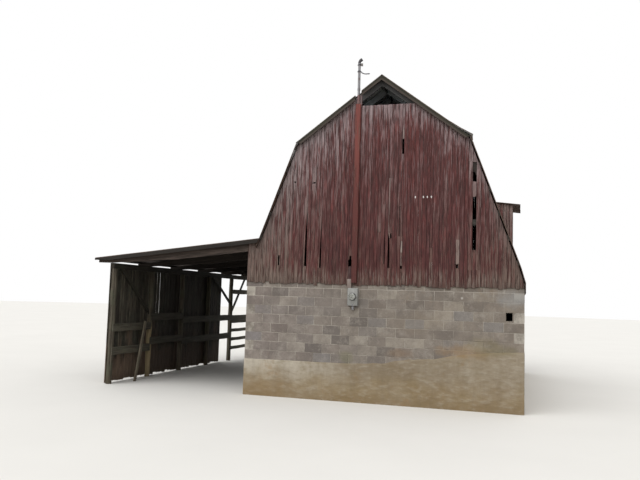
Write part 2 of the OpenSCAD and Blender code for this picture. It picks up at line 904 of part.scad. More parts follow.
module mast_pipe() grey_metal()
    translate([-mast_x, mast_y, mast_board_top_z + fit])
        cylinder(d = mast_pipe_d, h = mast_pipe_top_z - mast_board_top_z - fit, $fn = 48);

// Hooded cap on the pipe, turned over to the right
module mast_head() grey_metal()
    translate([-mast_x, mast_y, mast_pipe_top_z + fit])
        hull() {
            cylinder(d = head_d, h = head_h, $fn = 32);
            translate([hood_out, 0, hood_rise])
                rotate([0, 60, 0])
                    cylinder(d = hood_d, h = hood_l, $fn = 32);
        }

// A ring round the pipe, with a stub on its right side
clamp_r = mast_pipe_d / 2 + clamp_t;
module clamp(stub_d, stub_l) {
    difference() {
        union() {
            cylinder(r = clamp_r, h = clamp_h, $fn = 48);
            translate([0, 0, clamp_h / 2])
                rotate([0, 90, 0])
                    cylinder(d = stub_d, h = clamp_r + stub_l, $fn = 32);
        }
        translate([0, 0, -past])
            cylinder(d = mast_pipe_d + 2 * fit, h = clamp_h + 2 * past, $fn = 48);
    }
}

// The arm leaves its clamp downwards and bends to the level
arm_thinning = 2;
module bent_arm() {
    run = arm_bend_r * sin(arm_bend);
    drop = arm_bend_r * (1 - cos(arm_bend));
    translate([clamp_r + run, 0, arm_bend_r - drop])
        rotate([90, 0, 0])
            rotate([0, 0, -90 - arm_bend])
                rotate_extrude(angle = arm_bend, $fn = 96)
                    translate([arm_bend_r, 0]) circle(d = arm_d, $fn = 48);
    // The level part starts inside the bend's end and is a little thinner
    translate([clamp_r + run - arm_thinning, 0, -drop])
        rotate([0, 90, 0])
            cylinder(d = arm_d - arm_thinning, h = arm_reach - clamp_r - run + arm_thinning, $fn = 48);
}

// A grooved knob for a wire
module knob()
    rotate_extrude($fn = 48)
        polygon([
            [0, 0],
            [knob_d / 2, 0],
            [knob_d / 2, knob_h / 3],
            [knob_d / 3, knob_h / 2],
            [knob_d / 2, knob_h * 2 / 3],
            [knob_d / 2, knob_h],
            [0, knob_h],
        ]);

module mast_arm() grey_metal() {
    arm_rise = arm_bend_r * (1 - cos(arm_bend));
    translate([-mast_x, mast_y, mast_pipe_top_z - arm_drop + arm_rise])
        union() {
            translate([0, 0, -clamp_h / 2]) clamp(arm_d + 2 * clamp_t, clamp_t);
            bent_arm();
        }
    translate([-mast_x, mast_y, mast_pipe_top_z - knob_drop])
        union() {
            translate([0, 0, -clamp_h / 2]) clamp(arm_d, knob_d / 2);
            translate([clamp_r + knob_d / 2, 0, -knob_h / 2]) knob();
        }
}

// Meter

meter_z = siding_foot_z - meter_drop - meter_h;
module meter_box() grey_metal()
    translate([-meter_x, front_y - fit, meter_z])
        rotate([90, 0, 0])
            linear_extrude(meter_d)
                polygon([
                    for (side = [-1, 1], p = [[0, meter_chamfer], [meter_chamfer, 0]])
                        [side * (meter_w / 2 - (side < 0 ? p.x : p.y)), side < 0 ? p.y : p.x],
                    for (side = [1, -1], p = [[0, meter_chamfer], [meter_chamfer, 0]])
                        [side * (meter_w / 2 - (side > 0 ? p.x : p.y)),
                         meter_h - (side > 0 ? p.y : p.x)],
                ]);

module meter_glass() color([0.75, 0.78, 0.78])
    translate([-meter_x, front_y - 2 * fit - meter_d, meter_z + meter_h - glass_drop])
        rotate([90, 0, 0])
            rotate_extrude($fn = 64)
                let (r = glass_d / 2, inner = glass_d / 2 - glass_ring_w)
                    polygon([
                        [0, 0],
                        [r, 0],
                        [r, glass_ring_h],
                        [inner, glass_ring_h],
                        [inner, glass_h - glass_slant],
                        [inner - glass_slant, glass_h],
                        [0, glass_h],
                    ]);

// The conduit under the box, and the cover over the cables that come down beside the mast
module meter_conduits() grey_metal() {
    low_top = meter_z - fit;
    translate([-meter_x, front_y - meter_d / 2, low_top - conduit_low_l])
        cylinder(d = conduit_d, h = conduit_low_l, $fn = 48);
    translate([
        -mast_x - mast_board_w / 2 - 2 * fit - cover_w,
        siding_front_y - fit,
        meter_z + meter_h + fit,
    ])
        linear_extrude(cover_h)
            polygon([
                [0, 0],
                [0, -cover_t + cover_chamfer],
                [cover_chamfer, -cover_t],
                [cover_w - cover_chamfer, -cover_t],
                [cover_w, -cover_t + cover_chamfer],
                [cover_w, 0],
            ]);
}

// Lean-to

module lean_to_sheet(top, back)
    polygon([
        lean_on_slope(top),
        lean_at_x(top, lean_tip_x),
        lean_at_x(back, lean_tip_x),
        lean_on_slope(back),
    ]);
module lean_to_roof() roofing()
    left_side()
        ribbed_roof() {
            lean_to_sheet(rib_h, lean_sheet_t);
            lean_to_sheet(0, (rib_h + lean_sheet_t) / 2);
        }

module lean_to_laths() timber() {
    first = lean_on_slope(lean_lath_in) + 2 * lean_lath_t * lean_dir;
    run = norm(lean_at_x(lean_lath_in, lean_tip_x) - first) - lean_lath_w - lean_lath_t;
    thick = lean_lath_t * inward(lean_dir);
    wide = lean_lath_w * lean_dir;
    left_side()
        for (k = [0 : lean_laths - 1])
            let (p = first + run * k / (lean_laths - 1) * lean_dir)
                along_y(eaves_front_y + fascia_t + fit,
                        eaves_rear_y - eaves_front_y - 2 * (fascia_t + fit))
                    polygon([p, p + wide, p + wide + thick, p + thick]);
}

// Rafters that taper towards the beam, and on to the eaves
module lean_to_rafters() timber()
    left_side()
        for (i = [0 : lean_bays])
            along_y(front_y + fit + i * lean_rafter_step, lean_rafter_t)
                polygon([
                    lean_on_slope(lean_rafter_in),
                    lean_at_x(lean_rafter_in, lean_tip_x - lean_tail_in),
                    lean_at_x(lean_rafter_in + lean_tail_d, lean_tip_x - lean_tail_in),
                    lean_at_x(lean_rafter_in + lean_seat_d, post_out_x),
                    lean_at_x(lean_rafter_back, post_out_x - lean_taper_in),
                    lean_on_slope(lean_rafter_back),
                ]);

module lean_to_fascia() timber()
    left_side()
        for (y = [eaves_front_y, eaves_rear_y - fascia_t])
            along_y(y, fascia_t)
                polygon([
                    lean_on_slope(lean_lath_in),
                    lean_at_x(lean_lath_in, lean_tip_x - fit),
                    lean_at_x(lean_lath_in + lean_lath_t, lean_tip_x - fit),
                    lean_at_x(lean_lath_in + fascia_d, post_out_x),
                    lean_on_slope(lean_lath_in + fascia_d),
                ]);

module lean_to_beam() timber()
    left_side()
        translate([post_out_x - beam_w, front_y + fit, beam_top_z - beam_d])
            cube([beam_w, barn_l - 2 * fit, beam_d]);

module lean_to_posts() timber()
    left_side()
        for (i = [0 : lean_bays])
            translate([post_in_x, post_y(i), 0]) cube([post_w, post_w, post_top_z]);

// Upright boards on the outside of the posts; they stop short of the ground
module lean_to_side_boards() timber()
    left_side()
        for (bay = [0 : lean_bays - 2])
            for (k = [0 : (bay == lean_bays - 2 ? side_boards_last : side_boards) - 1])
                let (foot = side_foot_z + side_foot_step * ((3 * k + 2 * bay) % 4))
                    translate([
                        post_out_x + fit,
                        front_y + fit + bay * lean_rafter_step + k * side_step + side_gap / 2,
                        foot,
                    ])
                        cube([side_t, side_step - side_gap, side_top_z - foot]);

// Rails on the inside of the posts: bay, height and depth
function bay_step(bay) = bay == 0 ? -1 : bay == 1 ? 1 : 0;
rails = [
    for (bay = [0 : lean_bays - 2]) each [
        [bay, rail_high_z + bay_step(bay) * rail_high_step, rail_d],
        [bay, rail_low_z + bay_step(bay) * rail_low_step, rail_d],
    ],
    for (k = [0 : 3])
        [lean_bays - 1, open_rail_z + k * open_rail_step, k == 3 ? open_top_rail_d : open_rail_d],
    [lean_bays - 1, head_rail_z, head_rail_d],
];
module lean_to_rails() timber()
    left_side()
        for (r = rails)
            translate([post_in_x - fit - rail_t, post_y(r[0]) + fit, r[1]])
                cube([rail_t, post_step - 2 * fit, r[2]]);

// Braces from a post's side up to the beam: post, side, height of the foot, rise for each unit of run
braces = [
    [1, -1, front_brace_z, 0.8],
    [lean_bays - 1, -1, rear_brace_z, 0.6],
    [lean_bays - 1, 1, open_brace_z, 1.07],
];
module brace(i, side, foot, rise) {
    face = side > 0 ? post_y(i) + post_w + fit : post_y(i) - fit;
    run = (post_top_z - foot) / rise;
    angle = atan(rise);
    up = brace_w / cos(angle);
    across = brace_w / sin(angle);
    // Drawn in Y and Z
    translate([post_in_x + (post_w + brace_t) / 2, 0, 0])
        rotate([0, -90, 0])
            linear_extrude(brace_t)
                polygon([
                    [foot, face],
                    [foot + up, face],
                    [post_top_z, face + side * (run - across)],
                    [post_top_z, face + side * run],
                ]);
}
module lean_to_braces() timber()
    left_side()
        for (b = braces)
            brace(b[0], b[1], b[2], b[3]);

// A loose board that leans on the first bay's upper rail, its foot on the ground
module leaning_board() timber()
    left_side()
        intersection() {
            // It touches the rail's upper edge with its rear edge
            top_z = rails[0][1] + rails[0][2] + brace_w / 2 * sin(lean_board_side_angle);
            foot_x = post_in_x - fit - rail_t
                - top_z * tan(lean_board_angle) / cos(lean_board_side_angle);
            translate([foot_x, lean_board_y, 0])
                rotate([-lean_board_side_angle, 0, 0])
                    rotate([0, lean_board_angle, 0])
                        translate([-brace_t - fit, -brace_w / 2, -past])
                            cube([brace_t, brace_w, lean_board_l + past]);
            translate([0, -barn_l, 0]) cube([3 * half_w + lean_w, 2 * barn_l, wall_h]);
        }

front_block_wall();
rear_block_wall();
right_block_wall();
left_block_wall_front();
left_block_wall_rear();
left_doorway_lintel();
wall_plates();
loft_joists();
loft_floor();
lower_rafters();
upper_rafters();
knee_gussets();
collar_ties();
ridge_board();
roof_laths();
left_lower_roof();
left_upper_roof();
right_upper_roof();
right_lower_roof();
rake_boards();
front_gable_frame();
rear_gable_frame();
front_gable_boards();
rear_gable_boards();
dormer_cheeks();
dormer_face();
dormer_roof();
mast_board();
mast_pipe();
mast_head();
mast_arm();
meter_box();
meter_glass();
meter_conduits();
lean_to_roof();
lean_to_laths();
lean_to_rafters();
lean_to_fascia();
lean_to_beam();
lean_to_posts();
lean_to_braces();
lean_to_side_boards();
lean_to_rails();
leaning_board();
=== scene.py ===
"""Looks of a gambrel-roofed barn on block walls, with an open lean-to along its left side."""

import math
import random

import bmesh
import bpy
from mathutils import Matrix, Vector, noise
from mathutils.bvhtree import BVHTree


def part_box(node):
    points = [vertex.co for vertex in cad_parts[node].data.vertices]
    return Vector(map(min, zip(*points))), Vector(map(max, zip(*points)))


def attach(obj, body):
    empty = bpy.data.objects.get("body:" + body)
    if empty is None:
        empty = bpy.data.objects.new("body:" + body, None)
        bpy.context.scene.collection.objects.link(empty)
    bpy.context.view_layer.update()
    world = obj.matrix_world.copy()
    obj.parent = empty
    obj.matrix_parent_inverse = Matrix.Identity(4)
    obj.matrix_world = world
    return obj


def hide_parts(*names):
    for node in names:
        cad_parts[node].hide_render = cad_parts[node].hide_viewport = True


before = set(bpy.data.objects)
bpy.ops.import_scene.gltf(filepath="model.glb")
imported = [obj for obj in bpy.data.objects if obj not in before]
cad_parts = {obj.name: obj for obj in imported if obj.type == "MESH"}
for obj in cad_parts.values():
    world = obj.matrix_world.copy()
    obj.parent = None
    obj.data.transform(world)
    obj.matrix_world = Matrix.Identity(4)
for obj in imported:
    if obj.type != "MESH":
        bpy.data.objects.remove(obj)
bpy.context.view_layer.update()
noise.seed_set(7)  # otherwise noise_vector differs from run to run

# Sizes that the construction gives, in metres
HALF_W = 3.048
FRONT = -0.1016
REAR = 8.8392
WALL_T = 0.2032
SIDING_T = 0.022
EAVES_FRONT = -0.2136
EAVES_REAR = 8.9512
RIDGE = Vector((0, 7.2))
KNEE = Vector((1.94, 5.745))
FOOT = Vector((2.985, 2.9596))
BEND = Vector((3.075, 2.6496))
HEM = Vector((3.075, 2.4416))
LEAN_TOP = Vector((2.7672, 3.54))
LEAN_EAVES = Vector((7.054, 3.044))
DORMER_FRONT = 3.5558
DORMER_REAR = 5.1818
DORMER_FACE = 2.765
DORMER_TOP = Vector((2.267, 4.8735))
DORMER_EAVES = Vector((2.961, 4.792))
MAST_X = -0.522
MAST_Y = -0.1549
MAST_BOARD_TOP = 6.56
MAST_TOP = 7.49
METER_X = -0.532
METER_FOOT = 2.073
METER_HEAD = 2.458


# Node trees


def shade(code):
    """A colour written as RRGGBB, in the linear values that shaders take."""
    parts = [int(code[i : i + 2], 16) / 255 for i in (0, 2, 4)]
    linear = [c / 12.92 if c <= 0.04045 else ((c + 0.055) / 1.055) ** 2.4 for c in parts]
    return (*linear, 1.0)


class Net:
    """The nodes of one tree, each made and joined in one call."""

    def __init__(self, tree):
        self.tree = tree

    def put(self, socket, value):
        if isinstance(value, bpy.types.NodeSocket):
            self.tree.links.new(value, socket)
        else:
            socket.default_value = value

    def node(self, kind, inputs=None, **settings):
        node = self.tree.nodes.new(kind)
        for name, value in settings.items():
            setattr(node, name, value)
        for name, value in (inputs or {}).items():
            self.put(node.inputs[name], value)
        return node

    def sum(self, operation, *values):
        """A Math node."""
        return self.node("ShaderNodeMath", dict(enumerate(values)), operation=operation).outputs[0]

    def times(self, first, second):
        return self.sum("MULTIPLY", first, second)

    def minus(self, first, second):
        return self.sum("SUBTRACT", first, second)

    def over(self, first, second):
        return self.sum("DIVIDE", first, second)

    def total(self, *values):
        made = values[0]
        for value in values[1:]:
            made = self.sum("ADD", made, value)
        return made

    def about(self, value, reach):
        """A value that runs from 0 to 1, moved to lie about 0 and stretched."""
        return self.times(self.minus(value, 0.5), reach)

    def vector(self, operation, *values):
        """A Vector Math node."""
        node = self.node("ShaderNodeVectorMath", operation=operation)
        for socket, value in zip([s for s in node.inputs if s.enabled], values):
            self.put(socket, value)
        return node.outputs[0]

    def split(self, vector):
        return self.node("ShaderNodeSeparateXYZ", {0: vector}).outputs

    def join(self, x=0.0, y=0.0, z=0.0):
        return self.node("ShaderNodeCombineXYZ", {0: x, 1: y, 2: z}).outputs[0]

    def ramp(self, value, low, high, to_low=0.0, to_high=1.0, kind="SMOOTHSTEP"):
        """value taken from the range low to high to another range."""
        return self.node(
            "ShaderNodeMapRange", {0: value, 1: low, 2: high, 3: to_low, 4: to_high},
            interpolation_type=kind,
        ).outputs[0]

    def noise(self, place, scale, detail=3.0, roughness=0.55, stretch=None):
        """Noise, which a stretch under 1 draws out along the third axis."""
        if stretch:
            place = self.vector("MULTIPLY", place, (1, 1, stretch))
        return self.node(
            "ShaderNodeTexNoise",
            {"Vector": place, "Scale": scale, "Detail": detail, "Roughness": roughness},
        ).outputs[0]

    def mix(self, factor, first, second):
        """A mix of two colours, each from a socket or written as RRGGBB."""
        node = self.node("ShaderNodeMix", data_type="RGBA")
        for index, value in ((0, factor), (6, first), (7, second)):
            self.put(node.inputs[index], shade(value) if isinstance(value, str) else value)
        return node.outputs[2]

    def coats(self, colour, *coats):
        """The colour with each coat (share, colour) laid over it in turn."""
        for share, coat_colour in coats:
            colour = self.mix(share, colour, coat_colour)
        return colour

    def group(self, tree, **inputs):
        named = {name.replace("_", " "): value for name, value in inputs.items()}
        return self.node("ShaderNodeGroup", named, node_tree=tree).outputs


def new_tree(name, kind, inputs, outputs):
    """A node group with named inputs (name, socket, default) and outputs (name, socket)."""
    tree = bpy.data.node_groups.new(name, kind)
    for label, socket, *default in inputs:
        made = tree.interface.new_socket(label, in_out="INPUT", socket_type="NodeSocket" + socket)
        if default:
            made.default_value = default[0]
    for label, socket in outputs:
        tree.interface.new_socket(label, in_out="OUTPUT", socket_type="NodeSocket" + socket)
    net = Net(tree)
    return net, net.node("NodeGroupInput").outputs, net.node("NodeGroupOutput").inputs


def copies_tree():
    """Places a copy of the blank on each point, in the point's own size, turn and damage."""
    net, given, result = new_tree(
        "copies_on_points", "GeometryNodeTree",
        [("Places", "Geometry"), ("Blank", "Object"), ("Wobble", "Float", 0.0),
         ("Wobble Length", "Float", 1.0), ("Material", "Material")],
        [("Copies", "Geometry")],
    )

    def named(name):
        return net.node("GeometryNodeInputNamedAttribute", {"Name": name},
                        data_type="FLOAT_VECTOR").outputs["Attribute"]

    def store(geometry, name, value, kind="FLOAT_VECTOR"):
        return net.node("GeometryNodeStoreNamedAttribute",
                        {"Geometry": geometry, "Name": name, "Value": value},
                        data_type=kind, domain="POINT").outputs[0]

    position = net.node("GeometryNodeInputPosition").outputs[0]
    blank_info = net.node("GeometryNodeObjectInfo", {"Object": given["Blank"]})
    turn = net.node("FunctionNodeEulerToRotation", {0: named("turn")}).outputs[0]
    placed = net.node("GeometryNodeInstanceOnPoints", {
        "Points": given["Places"],
        "Instance": store(blank_info.outputs["Geometry"], "own", position),
        "Rotation": turn,
        "Scale": named("size"),
    }).outputs[0]
    real = net.node("GeometryNodeRealizeInstances", {"Geometry": placed}).outputs[0]

    own, size, shift = named("own"), named("size"), named("shift")
    own_x, _, own_z = net.split(own)
    size_x, _, size_z = net.split(size)
    slant_top, slant_foot, ragged = net.split(named("slant"))
    up = net.total(own_z, 0.5)
    slant = net.times(net.times(own_x, size_x), net.total(
        net.times(slant_top, up), net.times(slant_foot, net.minus(1.0, up))))
    from_end = net.times(net.minus(0.5, net.sum("ABSOLUTE", own_z)), size_z)
    teeth = net.vector("ADD", net.vector("MULTIPLY", own, (7.0, 0.6, 2.0)), shift)
    broken = net.times(net.about(net.noise(teeth, 1.0, 2.0), ragged),
                       net.ramp(from_end, 0.0, 0.03, 1.0, 0.0))
    raised = net.total(slant, broken)
    grain = net.vector("ADD", net.vector("MULTIPLY", own, size), net.join(z=raised))

    # A split opens downwards from its height, along one edge of the board
    rate, split_from, side = net.split(named("split"))
    depth = net.sum("MAXIMUM", net.minus(split_from, net.split(position)[2]), 0.0)
    on_side = net.sum("MAXIMUM", net.times(net.times(own_x, side), 2.0), 0.0)
    opening = net.times(net.times(rate, net.times(side, -1.0)), net.times(depth, on_side))

    along = net.over(net.split(grain)[2], given["Wobble Length"])
    across = net.vector("ADD", net.vector("MULTIPLY", own, (1.7, 1.7, 0.0)), shift)
    place = net.vector("ADD", across, net.join(z=along))
    waves = net.node("ShaderNodeTexNoise", {"Vector": place, "Scale": 1.0, "Detail": 2.0})
    wobble = net.vector("MULTIPLY", net.vector("SUBTRACT", waves.outputs[1], (0.5, 0.5, 0.5)),
                        net.join(net.times(given["Wobble"], 2.0), given["Wobble"]))
    moved = net.vector("ADD", wobble, net.join(x=opening, z=raised))
    turned = net.node("FunctionNodeRotateVector", {"Vector": moved, "Rotation": turn}).outputs[0]
    held = store(store(real, "grain", net.vector("ADD", grain, shift)),
                 "from_end", from_end, "FLOAT")
    shaped = net.node("GeometryNodeSetPosition", {"Geometry": held, "Offset": turned}).outputs[0]
    finished = net.node("GeometryNodeSetMaterial",
                        {"Geometry": shaped, "Material": given["Material"]}).outputs[0]
    net.put(result["Copies"], finished)
    return net.tree


COPIES = copies_tree()
ROW_VECTORS = ("size", "turn", "slant", "split", "shift")
ROW_FLOATS = ("tone", "bare")


def row(place, size, rng, **given):
    """One copy's place and values; what isn't given is plain, and its shift is random."""
    made = {name: (0, 0, 0) for name in ROW_VECTORS}
    made.update(place=tuple(place), size=size, tone=rng.random(), bare=0.0)
    made["shift"] = tuple(rng.uniform(0, 90) for _ in range(3))
    made.update(given)
    return made


def show(data, name=None):
    """A new object for the mesh, in the scene."""
    made = bpy.data.objects.new(name or data.name, data)
    bpy.context.scene.collection.objects.link(made)
    return made


def settle(made):
    """Makes what the object's modifiers give its plain mesh."""
    graph = bpy.context.evaluated_depsgraph_get()
    finished = bpy.data.meshes.new_from_object(
        made.evaluated_get(graph), preserve_all_data_layers=True, depsgraph=graph)
    made.modifiers.clear()
    made.data = finished
    return made


def copies(name, rows, blank_object, material, wobble=0.0, wobble_length=1.0):
    """A mesh object with one copy of the blank for each row."""
    mesh = bpy.data.meshes.new(name)
    mesh.from_pydata([r["place"] for r in rows], [], [])
    for label in ROW_VECTORS:
        values = mesh.attributes.new(label, "FLOAT_VECTOR", "POINT")
        values.data.foreach_set("vector", [v for r in rows for v in r[label]])
    for label in ROW_FLOATS:
        values = mesh.attributes.new(label, "FLOAT", "POINT")
        values.data.foreach_set("value", [r[label] for r in rows])
    made = show(mesh)
    modifier = made.modifiers.new("copies", "NODES")
    modifier.node_group = COPIES
    values = {"Blank": blank_object, "Wobble": wobble, "Wobble Length": wobble_length,
              "Material": material}
    for item in COPIES.interface.items_tree:
        if item.in_out == "INPUT" and item.name in values:
            modifier[item.identifier] = values[item.name]
    return settle(made)


def blank(name, mesh):
    """An object that is only copied, and isn't in the scene."""
    return bpy.data.objects.new(name, mesh)


def joined(first, *others):
    """The objects as one mesh, under the first one's name."""
    with bpy.context.temp_override(
        active_object=first, selected_editable_objects=[first, *others]
    ):
        bpy.ops.object.join()
    return first


def piece(made, slot, *nodes):
    """Hides the CAD nodes that the finished object stands for, and hangs the object under the root."""
    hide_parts(*nodes)
    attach(made, "root")
    return made


def welded(node):
    """A CAD node's solid for editing, with its triangles joined at their corners."""
    bm = bmesh.new()
    bm.from_mesh(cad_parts[node].data)
    bmesh.ops.remove_doubles(bm, verts=bm.verts, dist=1e-5)
    return bm


def mesh_of(bm, name, *materials):
    """The edited shape as a mesh."""
    mesh = bpy.data.meshes.new(name)
    bm.to_mesh(mesh)
    bm.free()
    for material in materials:
        mesh.materials.append(material)
    return mesh


# Shared shader groups


def timber_grain():
    """Streaks, fibres and cracks that run along the third axis of Place."""
    labels = ("Streaks", "Fibres", "Cracks", "Height")
    net, given, result = new_tree(
        "timber_grain", "ShaderNodeTree", [("Place", "Vector"), ("Crack Width", "Float", 0.05)],
        [(label, "Float") for label in labels],
    )
    place = given["Place"]
    streaks = net.noise(place, 26.0, 4.0, 0.6, stretch=0.07)
    fibres = net.noise(place, 210.0, 3.0, 0.6, stretch=0.025)
    path = net.noise(place, 34.0, 2.0, 0.5, stretch=0.05)
    ridge = net.sum("ABSOLUTE", net.minus(path, 0.5))
    cracks = net.ramp(ridge, 0.0, net.times(given["Crack Width"], 0.2), 1.0, 0.0, "LINEAR")
    lengths = net.noise(place, 5.0, 2.0, stretch=0.4)
    cracks = net.times(cracks, net.ramp(lengths, 0.48, 0.56))
    height = net.minus(net.total(net.times(streaks, 0.5), net.times(fibres, 0.35)),
                       net.times(cracks, 0.9))
    for label, value in zip(labels, (streaks, fibres, cracks, height)):
        net.put(result[label], value)
    return net.tree


def worn_paint():
    """Where paint has gone from boards: patches that follow the grain."""
    net, given, result = new_tree(
        "worn_paint", "ShaderNodeTree", [("Place", "Vector"), ("Bareness", "Float", 0.3)],
        [("Bare", "Float"), ("Thin", "Float")],
    )
    left = [0.5, net.times(given["Bareness"], 0.4)]
    for scale, stretch, share in ((9.0, 0.16, 0.5), (42.0, 0.055, 1.2), (110.0, 0.026, 0.9)):
        left.append(net.about(net.noise(given["Place"], scale, 4.0, 0.6, stretch), share))
    left = net.total(*left)
    net.put(result["Bare"], net.ramp(left, 0.62, 0.74))
    net.put(result["Thin"], net.ramp(left, 0.44, 0.66))
    return net.tree


def amount_tree(name, *inputs):
    """A new shader group with a Place and these inputs (name, default), that gives an Amount."""
    return new_tree(name, "ShaderNodeTree",
                    [("Place", "Vector")] + [(label, "Float", plain) for label, plain in inputs],
                    [("Amount", "Float")])


def blotches():
    """Soft uneven patches of two sizes."""
    net, given, result = amount_tree("blotches", ("Scale", 3.0), ("Low", 0.4), ("High", 0.65))
    wide = net.noise(given["Place"], given["Scale"], 4.0, 0.6)
    small = net.noise(given["Place"], net.times(given["Scale"], 7.0), 3.0, 0.6)
    value = net.total(net.times(wide, 0.7), net.times(small, 0.3))
    net.put(result["Amount"], net.ramp(value, given["Low"], given["High"], kind="LINEAR"))
    return net.tree


def rain_marks():
    """Streaks that run down: long on the third axis of Place, narrow on the others."""
    net, given, result = amount_tree("rain_marks", ("Scale", 8.0), ("Low", 0.5), ("High", 0.7))
    long = net.noise(given["Place"], given["Scale"], 4.0, 0.65, stretch=0.1)
    net.put(result["Amount"], net.ramp(long, given["Low"], given["High"], kind="LINEAR"))
    return net.tree


def near_ground():
    """1 at the ground, fading out with a ragged edge up to a height."""
    net, given, result = amount_tree("near_ground", ("Height", 0.5), ("Raggedness", 0.3))
    edge = net.about(net.noise(given["Place"], 2.2, 5.0, 0.6), given["Raggedness"])
    height = net.total(net.split(given["Place"])[2], edge)
    net.put(result["Amount"], net.ramp(net.over(height, given["Height"]), 0.0, 1.0, 1.0, 0.0))
    return net.tree


GRAIN, WORN, BLOTCHES, RAIN, GROUND = (
    timber_grain(), worn_paint(), blotches(), rain_marks(), near_ground(),
)


class Finish(Net):
    """The nodes of one material round its Principled shader; place is where a spot lies."""

    def __init__(self, name, **plain):
        self.material = bpy.data.materials.new(name)
        self.material.use_nodes = True
        super().__init__(self.material.node_tree)
        self.shader = self.tree.nodes["Principled BSDF"]
        self.place = self.node("ShaderNodeTexCoord").outputs["Object"]
        for label, value in plain.items():
            self.shader.inputs[label.replace("_", " ")].default_value = value

    def attribute(self, name, output="Fac"):
        return self.node("ShaderNodeAttribute", attribute_name=name).outputs[output]

    def amount(self, tree, share, place, **inputs):
        """The Amount of a group over the surface, times a share."""
        made = self.group(tree, Place=place or self.place, **inputs)["Amount"]
        return made if share == 1 else self.times(made, share)

    def blotches(self, scale, low, high, share=1, place=None):
        return self.amount(BLOTCHES, share, place, Scale=scale, Low=low, High=high)

    def rain(self, scale, low, high, share=1, place=None):
        return self.amount(RAIN, share, place, Scale=scale, Low=low, High=high)

    def soil(self, height, raggedness, share):
        return self.amount(GROUND, share, None, Height=height, Raggedness=raggedness)

    def away(self, middle, reach):
        """Distance from a middle (x, z) on the front, in shares of the reach (x, z)."""
        x, _, z = self.split(self.place)
        legs = [self.over(self.minus(at, m), r) for at, m, r in zip((x, z), middle, reach)]
        return self.node("ShaderNodeVectorMath", {0: self.join(legs[0], 0.0, legs[1])},
                         operation="LENGTH").outputs["Value"]

    def stained(self, colour):
        """The colour with the stains that the front wall has near its foot."""
        ragged = self.about(self.noise(self.place, 5.0, 4.0), 1.6)
        in_front = self.ramp(self.split(self.place)[1], -0.07, -0.03, 1.0, 0.0)
        for middle_x, middle_z, width, height, code, share in FRONT_STAINS:
            away = self.total(self.away((middle_x, middle_z), (width, height)), ragged)
            amount = self.ramp(away, 0.3, 1.3, share, 0.0)
            colour = self.mix(self.times(amount, in_front), colour, code)
        return colour

    def done(self, colour, roughness, height, depth):
        """Joins the links to the shader; depth is the height's full size in metres."""
        self.put(self.shader.inputs["Base Color"], colour)
        self.put(self.shader.inputs["Roughness"], roughness)
        bump = self.node("ShaderNodeBump", {"Height": height, "Distance": depth})
        self.put(self.shader.inputs["Normal"], bump.outputs[0])
        return self.material


# Materials

# Middle (x, z), width, height, colour and strength of each stain on the front wall
FRONT_STAINS = (
    (1.86, 1.2, 0.55, 0.16, "a5845a", 0.45), (0.47, 1.1, 0.34, 0.1, "86694b", 0.4),
    (2.4, 1.26, 0.6, 0.14, "827955", 0.42), (2.2, 1.42, 0.3, 0.11, "7c7048", 0.35),
    (-0.67, 0.95, 0.17, 0.13, "7d7b5a", 0.4), (-2.6, 0.12, 0.8, 0.3, "94774c", 0.4),
    (2.92, 2.33, 0.42, 0.2, "a3a5a6", 0.45), (1.795, 2.31, 0.026, 0.026, "ddd8cf", 0.6),
    (-1.0, 2.1, 0.7, 0.22, "968d86", 0.35), (0.9, 1.75, 0.6, 0.3, "938675", 0.3),
)


